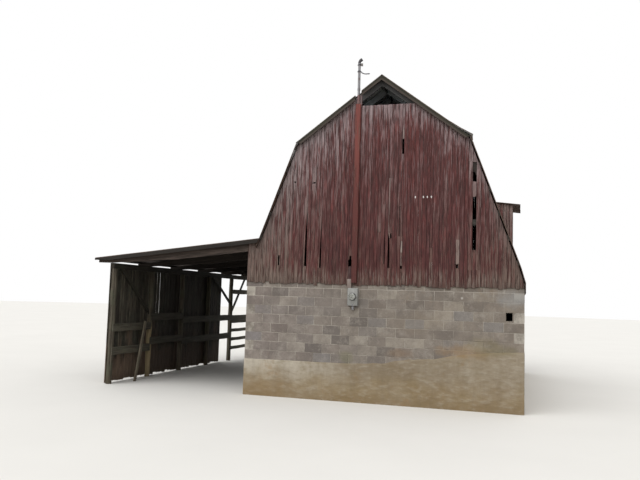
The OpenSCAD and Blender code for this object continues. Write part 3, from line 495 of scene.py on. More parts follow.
def red_paint(name, paint_low, paint_high, wood_low, wood_high, bareness):
    """Old paint on boards, barer along their edges and towards the edges of the gable; painted shade and
    dirt darken the boards' edges, and painted shade their foot.
    """
    net = Finish(name)
    place, tone, bare = net.attribute("grain", "Vector"), net.attribute("tone"), net.attribute("bare")
    grain = net.group(GRAIN, Place=place, Crack_Width=0.08)
    z = net.split(net.place)[2]
    out = net.away((0.4, 3.6), (3.1, 4.5))
    side = net.sum("ABSOLUTE", net.split(net.attribute("own", "Vector"))[0])
    worn = net.group(WORN, Place=place, Bareness=net.total(
        net.ramp(out, 0.4, 0.95, bareness, bareness + 0.7),
        net.about(net.noise(net.place, 0.8, 3.0), 0.6),
        bare,
        net.ramp(net.attribute("from_end"), 0.0, 0.45, 0.6, 0.0),
        net.ramp(side, 0.36, 0.46, 0.0, 0.1),
    ))
    high = net.ramp(z, 2.6, 6.6)
    mottle = net.noise(place, 9.0, 5.0, 0.7, stretch=0.25)
    fine = net.noise(place, 32.0, 4.0, 0.6, stretch=0.07)
    faded = net.mix(high, "70473f", "8f6c6c")
    paint = net.coats(
        net.mix(high, paint_low, paint_high),
        (net.times(tone, 0.45), "3d1d1c"),
        (net.ramp(mottle, 0.50, 0.36, 0.0, 0.85), "3f1a17"),
        (net.ramp(mottle, 0.54, 0.68, 0.0, 0.55), "7f403d"),
        (net.times(worn["Thin"], 0.5), faded),
    )
    wood = net.coats(
        net.mix(high, wood_low, wood_high),
        (net.ramp(out, 0.35, 1.0, 0.7, 0.1), faded),
        (net.ramp(grain["Fibres"], 0.35, 0.65, 0.5, 0.0), "554844"),
        (net.ramp(bare, 0.4, 1.0, 0.0, 0.85), "b3a79e"),
    )
    streaks = net.times(net.ramp(fine, 0.53, 0.68), net.ramp(out, 0.35, 0.95, 0.24, 0.62))
    fringe = net.times(net.ramp(z, 3.0, 2.65, 0.0, 0.6), net.ramp(fine, 0.5, 0.6))
    colour = net.coats(
        net.mix(net.times(worn["Bare"], 0.92), paint, wood),
        (net.ramp(bare, -0.4, -0.9, 0.0, 0.6), "3b2b2d"),
        (net.times(grain["Cracks"], 0.85), "1c1211"),
        # Painted shade and dirt along the boards' edges, where they meet
        (net.ramp(side, 0.455, 0.49, 0.0, 0.45), "231513"),
        (net.ramp(fine, 0.49, 0.34, 0.0, 0.8), "35140f"),
        (streaks, net.mix(high, "8b605b", "c6b1b2")),
        (fringe, "8f8379"),
        # Painted shade: darker towards the boards' foot
        (net.ramp(z, 2.5, 2.7, 0.45, 0.0), "4b3b33"),
    )
    height = net.minus(grain["Height"], net.times(worn["Bare"], 0.25))
    return net.done(colour, net.ramp(worn["Bare"], 0.0, 1.0, 0.72, 0.92), height, 0.004)


def timber(name, light, dark, moss=None, stain=0.35, inner_shade=0.0, low=None, edge=None,
           peak_light=None):
    """Weathered bare timber; moss is a colour for its damp places, inner how much painted shade
    darkens it away from the open ends, low (colour, height, from y, to y) its lower part, edge the
    colour of a board's lower edge, and dusty the pale colour of painted light on what lies up in
    the peak, which also brings painted shade over all above 4.6 m."""
    net = Finish(name)
    place, tone = net.attribute("grain", "Vector"), net.attribute("tone")
    grain = net.group(GRAIN, Place=place, Crack_Width=0.06)
    _, y, z = net.split(net.place)
    coats = [(net.ramp(grain["Fibres"], 0.35, 0.6, 0.4, 0.0), dark),
             (net.times(tone, stain), "2c241d")]
    if moss:
        coats.append((net.blotches(2.0, 0.45, 0.62, 0.5), moss))
    if low:
        code, height, front, rear = low
        along = net.times(net.ramp(y, front - 0.2, front), net.ramp(y, rear, rear + 0.2, 1.0, 0.0))
        level = net.total(z, net.about(net.noise(place, 3.0, 3.0), 1.6), net.about(tone, 0.7))
        coats.append((net.times(along, net.ramp(level, height + 0.3, height - 0.3, 0.0, 0.6)), code))
    if peak_light:
        # Painted shade over all above 4.6 m, and pale painted light over all above 6 m behind the front
        behind = net.times(net.ramp(z, 6.0, 6.7), net.ramp(y, 0.2, 0.6, 0.1, 0.95))
        coats += [(net.ramp(z, 4.6, 4.9, 0.0, 0.6), "2b1f1b"), (behind, peak_light)]
    if edge:
        coats.append((net.ramp(net.attribute("level"), 0.3, -0.5, 0.0, 0.75), edge))
    if inner_shade:
        # Painted shade: darker the further it lies from the open ends at front and rear
        deep = net.sum("MINIMUM", y, net.minus(8.8, y))
        coats.append((net.ramp(deep, 0.3, 2.3, 0.0, inner_shade), "15120f"))
    coats += [(net.times(grain["Cracks"], 0.8), "15110d"), (net.soil(0.35, 0.3, 0.5), "4a3c2c")]
    colour = net.coats(net.mix(net.ramp(grain["Streaks"], 0.35, 0.65), dark, light), *coats)
    return net.done(colour, net.ramp(grain["Fibres"], 0.3, 0.7, 0.78, 0.95), grain["Height"], 0.004)


def concrete_blocks():
    """Old blocks, no two of one grey; yellower to the right, and stained towards the foot."""
    net = Finish("concrete_blocks")
    x, _, z = net.split(net.place)
    tint = net.node("ShaderNodeValToRGB", {0: net.attribute("tone")})
    stops = tint.color_ramp.elements
    stops[0].color, stops[1].color = shade("716a64"), shade("8e8e90")
    for at, code in ((0.16, "857d76"), (0.34, "a0968c"), (0.5, "7d736b"), (0.68, "aca397"),
                     (0.84, "8f857b")):
        stops.new(at).color = shade(code)
    patches = net.blotches(3.5, 0.4, 0.62)
    pores = net.noise(net.place, 160.0, 3.0, 0.7)
    elsewhere = net.vector("ADD", net.place, (7.0, 3.0, 5.0))
    colour = net.coats(
        tint.outputs[0],
        (net.ramp(x, -1.5, 3.0, 0.0, 0.4), "a09280"),
        (net.ramp(x, -0.5, -3.0, 0.0, 0.3), "a0928e"),
        (net.times(patches, 0.5), "6f6761"),
        (net.blotches(4.5, 0.5, 0.68, 0.45, elsewhere), "bcb4a9"),
        (net.times(net.ramp(pores, 0.58, 0.7), 0.5), "544f49"),
        (net.ramp(pores, 0.42, 0.3, 0.0, 0.35), "b5ada2"),
        (net.rain(7.0, 0.52, 0.72, net.ramp(z, 1.6, 2.55, 0.0, 0.5)), "6b645c"),
        (net.soil(0.9, 0.9, 0.5), "94805f"),
        (net.blotches(1.1, 0.6, 0.72, 0.3), "a0825c"),
    )
    return net.done(net.stained(colour), 0.93, net.total(net.times(pores, 0.7), patches), 0.003)


def mortar():
    """Mortar, paler than the blocks, and cleanest in the top joints."""
    net = Finish("mortar")
    patches = net.blotches(2.5, 0.4, 0.6)
    sand = net.noise(net.place, 260.0, 2.0)
    colour = net.coats(
        net.mix(patches, "c6beb2", "8b8379"),
        (net.ramp(net.split(net.place)[2], 2.25, 2.4, 0.0, 0.7), "cbc3b7"),
        (net.ramp(sand, 0.5, 0.7, 0.0, 0.4), "766e65"),
    )
    return net.done(net.stained(colour), 0.95, net.total(sand, patches), 0.003)


def cement_wash():
    """The smooth coat at the foot of the walls, pale and stained by the soil."""
    net = Finish("cement_wash")
    x, _, z = net.split(net.place)
    low = net.total(z, net.about(net.noise(net.place, 3.0), 0.5))
    trowel = net.noise(net.place, 6.0, 4.0, 0.5, stretch=2.5)
    grit = net.noise(net.place, 190.0, 3.0, 0.7)
    elsewhere = net.vector("ADD", net.place, (3.0, 9.0, 4.0))
    colour = net.coats(
        net.mix(net.ramp(x, -1.9, -0.3), "cfc6b5", "91826b"),
        (net.ramp(x, 0.4, 2.4), "a1937d"),
        (net.ramp(low, 0.75, 0.25, 0.0, 0.85), "9c8763"),
        (net.blotches(1.3, 0.42, 0.62, 0.4), "8a775f"),
        (net.blotches(2.0, 0.4, 0.7, 0.3, elsewhere), "c3b9a8"),
        (net.soil(0.3, 0.5, 0.5), "8a7350"),
        (net.rain(9.0, 0.5, 0.7, 0.3), "84755f"),
        (net.blotches(2.3, 0.58, 0.68, 0.35), "a58053"),
        (net.ramp(trowel, 0.5, 0.3, 0.0, 0.3), "857453"),
        (net.ramp(trowel, 0.5, 0.72, 0.0, 0.25), "c9bfae"),
        (net.ramp(grit, 0.55, 0.7, 0.0, 0.35), "8a7c69"),
    )
    height = net.total(net.times(trowel, 2.0), net.times(grit, 0.4))
    return net.done(net.stained(colour), 0.9, height, 0.004)


def cast_concrete():
    """Concrete with the marks of the boards it was cast in, along its length."""
    net = Finish("cast_concrete")
    marks = net.noise(net.vector("MULTIPLY", net.place, (1, 0.06, 1)), 40.0, 2.0)
    patches = net.blotches(3.0, 0.4, 0.62)
    colour = net.coats(net.mix(patches, "8f8a80", "746f67"),
                       (net.ramp(marks, 0.5, 0.62, 0.0, 0.4), "5f5a53"))
    return net.done(colour, 0.9, net.total(marks, patches), 0.003)


def roofing():
    """Galvanised sheet that has gone brown, with rust running down it; painted light makes its undersides
    up in the peak near white, and painted shade darkens its undersides low down.
    """
    net = Finish("roofing")
    lie = net.vector("ADD", net.attribute("lie", "Vector"), net.attribute("shift", "Vector"))
    z = net.split(net.place)[2]
    rust = net.blotches(1.8, 0.36, 0.6, place=lie)
    runs = net.rain(11.0, 0.4, 0.68, place=lie)
    pits = net.noise(lie, 130.0, 3.0, 0.7)
    bright = net.minus(net.ramp(net.attribute("tone"), 0.6, 1.0, 0.0, 0.5), net.times(rust, 0.5))
    zinc = net.ramp(net.minus(bright, net.times(runs, 0.25)), 0.0, 0.4)
    under = net.ramp(net.attribute("underside"), 0.4, 0.6)
    colour = net.coats(
        net.mix(rust, "655347", "483b33"),
        (net.times(runs, 0.5), "6b4a38"),
        (net.times(zinc, 0.55), "77716a"),
        (net.ramp(pits, 0.56, 0.68, 0.0, 0.5), "2f2620"),
        (net.ramp(net.attribute("from_hem"), 0.0, 0.35, 0.45, 0.0), "3f3028"),
        # Painted light: the undersides up in the peak are near white
        (net.times(under, net.ramp(z, 5.2, 5.8)), "eef2f4"),
        # Painted shade: the undersides below about 3.8 m, under the lean-to and the eaves, are darkened
        (net.times(under, net.ramp(z, 3.8, 3.5, 0.0, 0.6)), "1f1b19"),
    )
    net.put(net.shader.inputs["Metallic"], net.times(zinc, 0.6))
    return net.done(colour, net.ramp(zinc, 0.0, 1.0, 0.85, 0.5), net.total(pits, rust), 0.0015)


def old_metal(name, base, worn, rust_low=0.55, metallic=0.6, roughness=0.5):
    """Galvanised or painted metal with patches of rust."""
    net = Finish(name)
    rust = net.blotches(14.0, rust_low, rust_low + 0.12)
    pits = net.noise(net.place, 500.0, 2.0)
    colour = net.coats(
        net.mix(net.blotches(40.0, 0.4, 0.6, 0.5), base, worn),
        (net.rain(45.0, 0.5, 0.7, 0.35), "5c544c"),
        (net.times(rust, 0.75), "6b4630"),
    )
    net.put(net.shader.inputs["Metallic"], net.ramp(rust, 0.0, 1.0, metallic, 0.0))
    rough = net.ramp(rust, 0.0, 1.0, roughness, 0.85)
    return net.done(colour, rough, net.total(pits, rust), 0.0008)


def glazed(name, clean, dirty, roughness):
    """Porcelain or enamel, with fine dirt in it."""
    net = Finish(name, Coat_Weight=0.4)
    dirt = net.blotches(60.0, 0.5, 0.7)
    return net.done(net.mix(net.times(dirt, 0.6), clean, dirty), roughness, dirt, 0.0003)


def window_glass():
    net = Finish("meter_window", Transmission_Weight=1.0, IOR=1.46)
    haze = net.blotches(30.0, 0.4, 0.7)
    colour = net.mix(haze, "f4f6f5", "dcdcd4")
    return net.done(colour, net.ramp(haze, 0.0, 1.0, 0.03, 0.16), haze, 0.0002)


def mast_paint():
    """Orange-red paint on the mast's board, flaking down to grey wood."""
    net = Finish("mast_paint")
    place = net.attribute("grain", "Vector")
    grain = net.group(GRAIN, Place=place, Crack_Width=0.06)
    z = net.split(net.place)[2]
    worn = net.group(WORN, Place=place, Bareness=net.ramp(z, 2.6, 6.2, 0.0, 0.12))
    colour = net.coats(
        net.mix(net.ramp(z, 3.0, 6.4), "521e17", "843f36"),
        (net.ramp(grain["Streaks"], 0.4, 0.7, 0.0, 0.5), "53211b"),
        (net.times(worn["Bare"], 0.75),
         net.mix(net.ramp(grain["Fibres"], 0.35, 0.65), "5b423a", "846f64")),
        (net.times(grain["Cracks"], 0.8), "231614"),
    )
    height = net.minus(grain["Height"], net.times(worn["Bare"], 0.4))
    return net.done(colour, net.ramp(worn["Bare"], 0.0, 1.0, 0.6, 0.9), height, 0.004)


RED = red_paint("red_boards", "4b1614", "5f2723", "84756a", "c6babc", -0.14)
DORMER_RED = red_paint("dormer_boards", "743f3a", "85504b", "a89990", "b8aaa1", -0.3)
# The frame's colours carry painted shade above 4.6 m and pale painted light up in the peak
FRAME_WOOD = timber("frame_timber", "524d47", "302d29", peak_light="cad3d9")
# The lean-to's timbers carry painted shade away from the open ends
LEAN_WOOD = timber("lean_to_timber", "4b4539", "2f2a24", "434736", inner_shade=0.65)
SIDE_WOOD = timber("side_boards", "8a8170", "2e2a24", "53584a", 0.9, 0.65,
                   ("8a7260", 0.85, -0.5, 9.5))
POST_WOOD = timber("lean_to_posts", "736b5c", "484136", "5b604c", low=("bca882", 1.45, 1.4, 2.1))
RAIL_WOOD = timber("lean_to_rails", "756e60", "4c473c", "5c614f", inner_shade=0.5)
RAFTER_WOOD = timber("lean_to_rafters", "64574f", "3a312b", inner_shade=0.75)
BOARD_GREY = timber("grey_board", "b0a48f", "7a6f5f", "7f7d68")
EDGE_WOOD = timber("edge_board", "3c3a2d", "25231a", "3a3b2b", edge="584d47")
FASCIA_WOOD = timber("fascia_board", "2f2a25", "1c1916")
FLOOR_WOOD = timber("floor_boards", "75654f", "4c4032")
BLOCK, MORTAR, WASH = concrete_blocks(), mortar(), cement_wash()
ROOFING = roofing()
GALVANISED = old_metal("galvanised", "98979a", "7a7879")
POLE_FOOT = old_metal("pole_foot", "8a6c6a", "76595a", 0.6, 0.0, 0.7)
FITTINGS = old_metal("mast_fittings", "5b5a5e", "48474a", 0.6, 0.4, 0.6)
CASE_GREY = old_metal("meter_case", "a6a6a2", "8f8f8b", 0.66, 0.0, 0.5)
COVER_GREY = old_metal("cable_cover", "96877f", "84766f", 0.68, 0.0, 0.55)
DARK_METAL = old_metal("dark_metal", "3b3734", "2c2927", 0.6, 0.4, 0.6)
# Pale, for spots of painted light showing through holes in the front boards
PAINTED_LIGHT_SPOT = old_metal("tin_tags", "f6f1ee", "e3dcd7", 0.5, 0.0, 0.3)
NAIL = old_metal("nail_heads", "5a4a40", "4a3a31", 0.4, 0.2, 0.7)
PORCELAIN = glazed("porcelain", "8c8680", "6b5c50", 0.25)
DIAL = glazed("dial_face", "f3f2ed", "d8d5cb", 0.5)
INK = glazed("dial_marks", "23211f", "151413", 0.5)
WINDOW = window_glass()
MAST_RED = mast_paint()
CAST = cast_concrete()


# Boards


class Solid:
    """A CAD node's solid, to measure where boards begin and end."""

    def __init__(self, node):
        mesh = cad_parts[node].data
        self.tree = BVHTree.FromPolygons(
            [v.co for v in mesh.vertices], [p.vertices for p in mesh.polygons]
        )

    def spans(self, place):
        """Heights of foot and top of each stretch of the solid over a place (x, y)."""
        found, start = [], Vector((place[0], place[1], -1.0))
        while True:
            hit = self.tree.ray_cast(start, Vector((0, 0, 1)))[0]
            if hit is None:
                return list(zip(found[::2], found[1::2]))
            found.append(hit.z)
            start = hit + Vector((0, 0, 1e-4))


def board_blank(name, rings=25, bevel_x=0.03, bevel_y=0.12):
    """A board of unit size that stands on end, with eased edges and close rings near its ends."""
    section = [
        (-0.5, -0.5 + bevel_y), (-0.5 + bevel_x, -0.5), (-0.2, -0.5), (0.1, -0.5),
        (0.5 - bevel_x, -0.5), (0.5, -0.5 + bevel_y), (0.5, 0.5 - bevel_y),
        (0.5 - bevel_x, 0.5), (0.1, 0.5), (-0.2, 0.5), (-0.5 + bevel_x, 0.5),
        (-0.5, 0.5 - bevel_y),
    ]
    heights = [-0.5 * math.cos(math.pi * i / (rings - 1)) for i in range(rings)]
    count = len(section)
    points = [(x, y, z) for z in heights for x, y in section]
    faces = [
        (r * count + i, r * count + (i + 1) % count,
         (r + 1) * count + (i + 1) % count, (r + 1) * count + i)
        for r in range(rings - 1) for i in range(count)
    ]
    # Each end is closed strip by strip across the width
    strips = [(0, 1, 10, 11), (1, 2, 9, 10), (2, 3, 8, 9), (3, 4, 7, 8), (4, 5, 6, 7)]
    top = (rings - 1) * count
    faces += [tuple(reversed(s)) for s in strips]
    faces += [tuple(top + i for i in s) for s in strips]
    mesh = bpy.data.meshes.new(name)
    mesh.from_pydata(points, [], faces)
    return blank(name, mesh)


BOARD = board_blank("board")


def divide(start, end, count, rng, spread=0.12):
    """Edges of a number of boards of uneven width, without the last edge."""
    widths = [1 + rng.uniform(-spread, spread) for _ in range(count)]
    edges, at = [], start
    for width in widths:
        edges.append(at)
        at += width * (end - start) / sum(widths)
    return edges


def upright_boards(node, base, along, edges, thick, rng, patches=(), splits=(),
                   foot_spread=0.0, gap=0.006, turn=0.0):
    """Rows for boards that fill the node's solid. A patch (at, foot, top, *strips) is a
    stretch of the board there, of which only the strips (start, end, bareness) are left, in
    shares of its width; a split (at, foot, top, rate, side) opens along an edge of the board."""
    solid, rows = Solid(node), []
    base, along = Vector(base), Vector(along)
    out = along.cross(Vector((0, 0, 1)))
    for low, high in zip(edges, edges[1:]):
        sides = [solid.spans(base + along * at) for at in (low + 0.005, high - 0.005)]
        middle = solid.spans(base + along * (low + high) / 2)
        if not len(sides[0]) == len(sides[1]) == len(middle):
            sides = [middle, middle]
        bare = rng.gauss(0, 0.13)
        tone = rng.random()
        depth = rng.uniform(-0.0025, 0.0015)
        own = [p for p in patches if low <= p[0] < high]
        split = next((s for s in splits if low <= s[0] < high), None)
        for (left_foot, left_top), (right_foot, right_top) in zip(*sides):
            foot, top = (left_foot + right_foot) / 2, (left_top + right_top) / 2
            run = high - low - 0.01
            cuts = {foot, top}
            for _, z0, z1, *_ in own + ([split] if split else []):
                cuts |= {z for z in (z0, z1) if foot < z < top}
            cuts = sorted(cuts)
            for z0, z1 in zip(cuts, cuts[1:]):
                middle_z = (z0 + z1) / 2
                patch = next((p for p in own if p[1] <= middle_z <= p[2]), None)
                strips = patch[3:] if patch else ((0, 1, bare),)
                lower = z0 + (rng.gauss(0, foot_spread) if z0 == foot and foot < 2.6 else 0)
                slant_top = (right_top - left_top) / run if z1 == top else 0
                slant_foot = (right_foot - left_foot) / run if z0 == foot else 0
                given = {}
                if split and split[1] <= middle_z <= split[2]:
                    given["split"] = (split[3], split[2], split[4])
                for start, end, bareness in strips:
                    width = (high - low) * (end - start) - gap
                    at = low + (high - low) * (start + end) / 2
                    rows.append(row(
                        base + along * at + Vector((0, 0, (lower + z1) / 2)) + out * depth,
                        (width, thick, z1 - lower), rng,
                        slant=(slant_top, slant_foot, 0.06 if patch else 0.035),
                        turn=(0, 0, turn),
                        tone=min(1, max(0, tone + rng.uniform(-0.15, 0.15))),
                        bare=bareness, **given))
    return rows


def nail_blank():
    """A low domed head, six-sided."""
    mesh = bpy.data.meshes.new("nail")
    rim = [(math.cos(i * math.pi / 3), math.sin(i * math.pi / 3)) for i in range(6)]
    points = [(radius * x, radius * y, z) for radius, z in ((0.5, 0), (0.4, 0.6)) for x, y in rim]
    points += [(0, 0, 1), (0, 0, 0)]
    faces = [(i, (i + 1) % 6, 6 + (i + 1) % 6, 6 + i) for i in range(6)]
    faces += [(6 + i, 6 + (i + 1) % 6, 12) for i in range(6)]
    faces += [((i + 1) % 6, i, 13) for i in range(6)]
    mesh.from_pydata(points, [], faces)
    return blank("nail", mesh)


NAIL_BLANK = nail_blank()


def nails(name, places, turn, rng, size=0.009, height=0.0025, material=None, length=None):
    rows = [row(p, (size, length or size, height), rng, turn=turn) for p in places]
    return copies(name, rows, NAIL_BLANK, material or NAIL)


def snapped(edges, seams):
    """The edges between the boards, with the nearest one moved to each seam."""
    edges = list(edges)
    for seam in seams:
        edges[min(range(1, len(edges)), key=lambda i: abs(edges[i] - seam))] = seam
    return edges


MAST_EDGE = -0.446  # where the boards are cut for the mast
PEAK_SLIT, RIGHT_SLITS = (0.478, 0.518), (1.992, 2.068)  # narrow stretches with openings
NAIL_HEIGHTS = (2.66, 3.9, 5.03, 6.46)
# Where the spots of painted light through holes in the front boards lie, and their height
LIGHT_SPOT_XS, LIGHT_SPOT_HEIGHT = (0.783, 0.956, 1.041, 1.126), 4.45
BOARD_FACE = 0.0105  # from the boards' middle to the heads of their nails


def gable(node, y, rng, seams, patches, splits, gap, front):
    """One gable's boards with their nails, and on the front, pale spots of painted light."""
    edges = (
        snapped(divide(-HALF_W, MAST_EDGE, 30, rng), seams[0])
        + snapped(divide(MAST_EDGE, PEAK_SLIT[0], 11, rng), seams[1]) + [PEAK_SLIT[0]]
        + snapped(divide(PEAK_SLIT[1], RIGHT_SLITS[0], 17, rng), seams[2]) + [RIGHT_SLITS[0]]
        + divide(RIGHT_SLITS[1], HALF_W, 11, rng) + [HALF_W]
    )
    rows = upright_boards(node, (0, y, 0), (1, 0, 0), edges, 0.019, rng,
                          patches, splits, foot_spread=0.015, gap=gap)
    boards = copies(node + "_dressed", rows, BOARD, RED, 0.0045, 0.35)
    side = -1 if front else 1
    places = [
        (r["place"][0] + k * r["size"][0] * 0.27, y + side * BOARD_FACE, z + rng.uniform(-0.02, 0.02))
        for r in rows for z in NAIL_HEIGHTS for k in (-1, 1)
        if abs(z - r["place"][2]) < r["size"][2] / 2 - 0.03
    ]
    turn = (side * -math.pi / 2, 0, 0)
    heads = [nails(node + "_nails", places, turn, rng)]
    if front:
        # Pale spots as painted light where it shows through holes in the boards
        light_spots = [(x, y - BOARD_FACE, LIGHT_SPOT_HEIGHT) for x in LIGHT_SPOT_XS]
        heads.append(nails("tin_tags", light_spots, turn, rng, 0.028, 0.003, PAINTED_LIGHT_SPOT, 0.056))
    return piece(joined(boards, *heads), "red_board", node)


# Joints between the front's boards, in its three stretches
FRONT_SEAMS = ((-1.72, -1.64, -1.3, -0.67, -0.585), (0.205, 0.29), (1.1, 1.165, 1.655, 1.73))
# Damaged places (x, foot, top) of the front, with the strips that are left of the board
FRONT_PATCHES = (
    (-1.68, 2.6, 2.92, (0, 1, 0.55)),
    (-0.63, 3.08, 3.16, (0, 0.3, 0.2), (0.75, 1, 0.2)), (-0.63, 2.93, 3.08),
    (-0.63, 2.6, 2.93, (0, 1, -0.9)),
    (-1.92, 4.81, 4.85, (0, 0.25, 0.3), (0.75, 1, 0.3)),
    (-1.55, 4.79, 4.825, (0, 0.3, 0.3), (0.8, 1, 0.3)),
    (0.24, 3.67, 4.88, (0, 0.36, 0.65), (0.36, 1, -0.1)),
    (0.24, 3.56, 3.67, (0, 0.5, 0.6), (0.62, 1, 0)), (0.24, 2.91, 3.56, (0.36, 1, -0.1)),
    (0.45, 3.6, 4.25, (0, 0.58, 0), (0.7, 1, 0.35)),
    (0.498, 5.75, 5.95, (0, 1, 0.7)), (0.498, 3.5, 3.6, (0, 1, 0.4)),
    (0.498, 3.25, 3.5, (0, 1, 0.95)), (0.498, 2.96, 3.25, (0, 1, 0.6)), (0.498, 2.9, 2.96),
    (1.13, 2.4, 3.05, (0, 1, 0.62)), (1.13, 3.05, 3.36, (0, 1, 0.4)),
    (1.69, 3.02, 3.53, (0, 1, 0.7)), (1.69, 2.93, 3.02, (0, 0.15, 0.4), (0.65, 1, 0.4)),
    (1.69, 2.4, 2.93, (0, 1, 0.45)), (2.03, 4.4, 4.8, (0, 1, 0.42)),
    (1.98, 2.9, 5.2, (0, 1, 0.25)), (2.09, 2.9, 5.2, (0, 1, 0.25)),
    (0.03, 3.69, 3.89, (0, 1, 0.5)), (-2.32, 2.93, 3.16, (0, 0.35, 0.1), (0.7, 1, 0.1)),
)
# Split boards (x, foot, top, widening, side)
FRONT_SPLITS = (
    (-1.68, 2.92, 4.21, 0.064, 1), (-1.31, 2.89, 4.05, 0.034, 1), (0.24, 3.56, 3.67, 0.27, -1),
    (0.13, 3.0, 4.3, 0.014, 1),
)
gable("front_gable_boards", FRONT - SIDING_T / 2, random.Random(11), FRONT_SEAMS,
      FRONT_PATCHES, FRONT_SPLITS, 0.0045, True)
gable("rear_gable_boards", REAR + SIDING_T / 2, random.Random(23), ((), (), ()),
      ((-1.2, 2.4, 3.3, (0, 1, 0.6)), (0.9, 2.4, 3.0, (0, 1, 0.5))),
      ((-1.9, 2.7, 3.9, 0.03, 1), (-0.8, 2.6, 3.4, 0.03, -1)), 0.0015, False)


CHEEK_T, CHEEK_BACK = 0.045, 2.292
HATCH_FRONT, HATCH_REAR = 3.8688, 4.8688


def dormer():
    """The small shed dormer's two cheeks, and its face with an open hatch."""
    rng = random.Random(31)
    cheek_rows = []
    for y in (DORMER_FRONT + CHEEK_T / 2, DORMER_REAR - CHEEK_T / 2):
        edges = divide(CHEEK_BACK, DORMER_FACE, 6, rng) + [DORMER_FACE]
        cheek_rows += upright_boards("dormer_cheeks", (0, y, 0), (1, 0, 0), edges, 0.04, rng)
    cheeks = copies("dormer_cheek_boards", cheek_rows, BOARD, DORMER_RED, 0.003, 0.4)
    piece(cheeks, "red_board", "dormer_cheeks")
    front, rear = DORMER_FRONT + CHEEK_T + 0.001, DORMER_REAR - CHEEK_T - 0.001
    edges = (
        divide(front, HATCH_FRONT, 3, rng) + divide(HATCH_FRONT, HATCH_REAR, 11, rng)
        + divide(HATCH_REAR, rear, 3, rng) + [rear]
    )
    face_rows = upright_boards("dormer_face", (DORMER_FACE - CHEEK_T / 2, 0, 0), (0, 1, 0),
                               edges, 0.04, rng, turn=math.pi / 2)
    face = copies("dormer_face_boards", face_rows, BOARD, DORMER_RED, 0.003, 0.4)
    piece(face, "red_board", "dormer_face")


dormer()


def loft_floor():
    """Floor boards from front to rear, each with one joint."""
    rng = random.Random(41)
    low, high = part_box("loft_floor")
    edges = divide(low.x, high.x, 37, rng) + [high.x]
    rows, length = [], high.y - low.y
    for left, right in zip(edges, edges[1:]):
        joint = low.y + length * rng.uniform(0.3, 0.7)
        for y0, y1 in ((low.y, joint - 0.002), (joint + 0.002, high.y)):
            rows.append(row(((left + right) / 2, (y0 + y1) / 2, (low.z + high.z) / 2),
                            (right - left - 0.004, 0.024, y1 - y0), rng,
                            turn=(math.pi / 2, 0, 0)))
    made = copies("loft_floor_boards", rows, board_blank("floor_board", 9), FLOOR_WOOD, 0.002, 0.8)
    piece(made, "frame_timber", "loft_floor")


loft_floor()


# Timbers that keep the CAD solid's form


def part_place(part):
    """A part's low and high corner to the millimetre."""
    return [round(pick(v.co[i] for v in part) + 0.0002, 3) for pick in (min, max) for i in range(3)]


def loose_parts(bm):
    """The vertices of each separate stick, in the order of their places."""
    seen, parts = set(), []
    for first in bm.verts:
        if first in seen:
            continue
        seen.add(first)
        part = [first]
        for vertex in part:
            for link in vertex.link_edges:
                other = link.other_vert(vertex)
                if other not in seen:
                    seen.add(other)
                    part.append(other)
        parts.append(part)
    return sorted(parts, key=part_place)


def long_axis(part):
    """The direction of a stick's longest edge, always the same way round."""
    lines = [e.verts[1].co - e.verts[0].co for v in part for e in v.link_edges]
    lines = [line if line.dot((3, 5, 7)) > 0 else -line for line in lines]
    return max(lines, key=lambda line: [round(x, 3) for x in (line.length, *line)]).normalized()


def sticks(node, slot, material, seed, bevel=0.003, wobble=0.0025, pace=0.4, wave=0.5):
    """The node's timbers as sawn sticks: eased edges, a little bow, grain along each."""
    rng, bm = random.Random(seed), welded(node)
    bmesh.ops.dissolve_limit(bm, angle_limit=math.radians(0.5), verts=bm.verts, edges=bm.edges)
    grain = bm.verts.layers.float_vector.new("grain")
    tone = bm.verts.layers.float.new("tone")
    level = bm.verts.layers.float.new("level")
    # A wide bevel is for round-hewn sticks, whose ends stay square
    shortest = 2 * bevel if bevel < 0.01 else 0.2
    eased = [e for e in bm.edges if e.calc_face_angle(0) > 0.4 and e.calc_length() > shortest]
    bmesh.ops.bevel(bm, geom=eased, offset=bevel, segments=1, profile=0.5, affect="EDGES",
                    clamp_overlap=True)
    for part in loose_parts(bm):
        axis = long_axis(part)
        other = Vector((0, 1, 0)) if abs(axis.y) < 0.9 else Vector((0, 0, 1))
        across = axis.cross(other).normalized()
        flat = across.cross(axis)
        along = [v.co.dot(axis) for v in part]
        low, length = min(along), max(along) - min(along)
        sides = [v.co.dot(across) for v in part]
        middle, half = (min(sides) + max(sides)) / 2, (max(sides) - min(sides)) / 2
        half = math.copysign(half, across.z)
        geometry = list(dict.fromkeys(g for v in part for g in (v, *v.link_edges, *v.link_faces)))
        steps = max(2, round(length / pace))
        for i in range(1, steps):
            geometry = bmesh.ops.bisect_plane(
                bm, geom=geometry, dist=1e-5, plane_no=axis,
                plane_co=axis * (low + length * i / steps),
            )["geom"]
        shift = Vector([rng.uniform(0, 90) for _ in range(3)])
        stick_tone = rng.random()
        for vertex in [g for g in geometry if isinstance(g, bmesh.types.BMVert)]:
            own = Vector((vertex.co.dot(across), vertex.co.dot(flat), vertex.co.dot(axis)))
            at = Vector((own.x * 5, own.y * 5, own.z / wave)) + shift
            waves = noise.noise_vector(at) * wobble
            vertex[grain] = own + shift
            vertex[tone] = stick_tone
            vertex[level] = (own.x - middle) / half
            vertex.co += across * waves.x + flat * waves.y
    bmesh.ops.recalc_face_normals(bm, faces=bm.faces)
    return piece(show(mesh_of(bm, node + "_dressed", material)), slot, node)


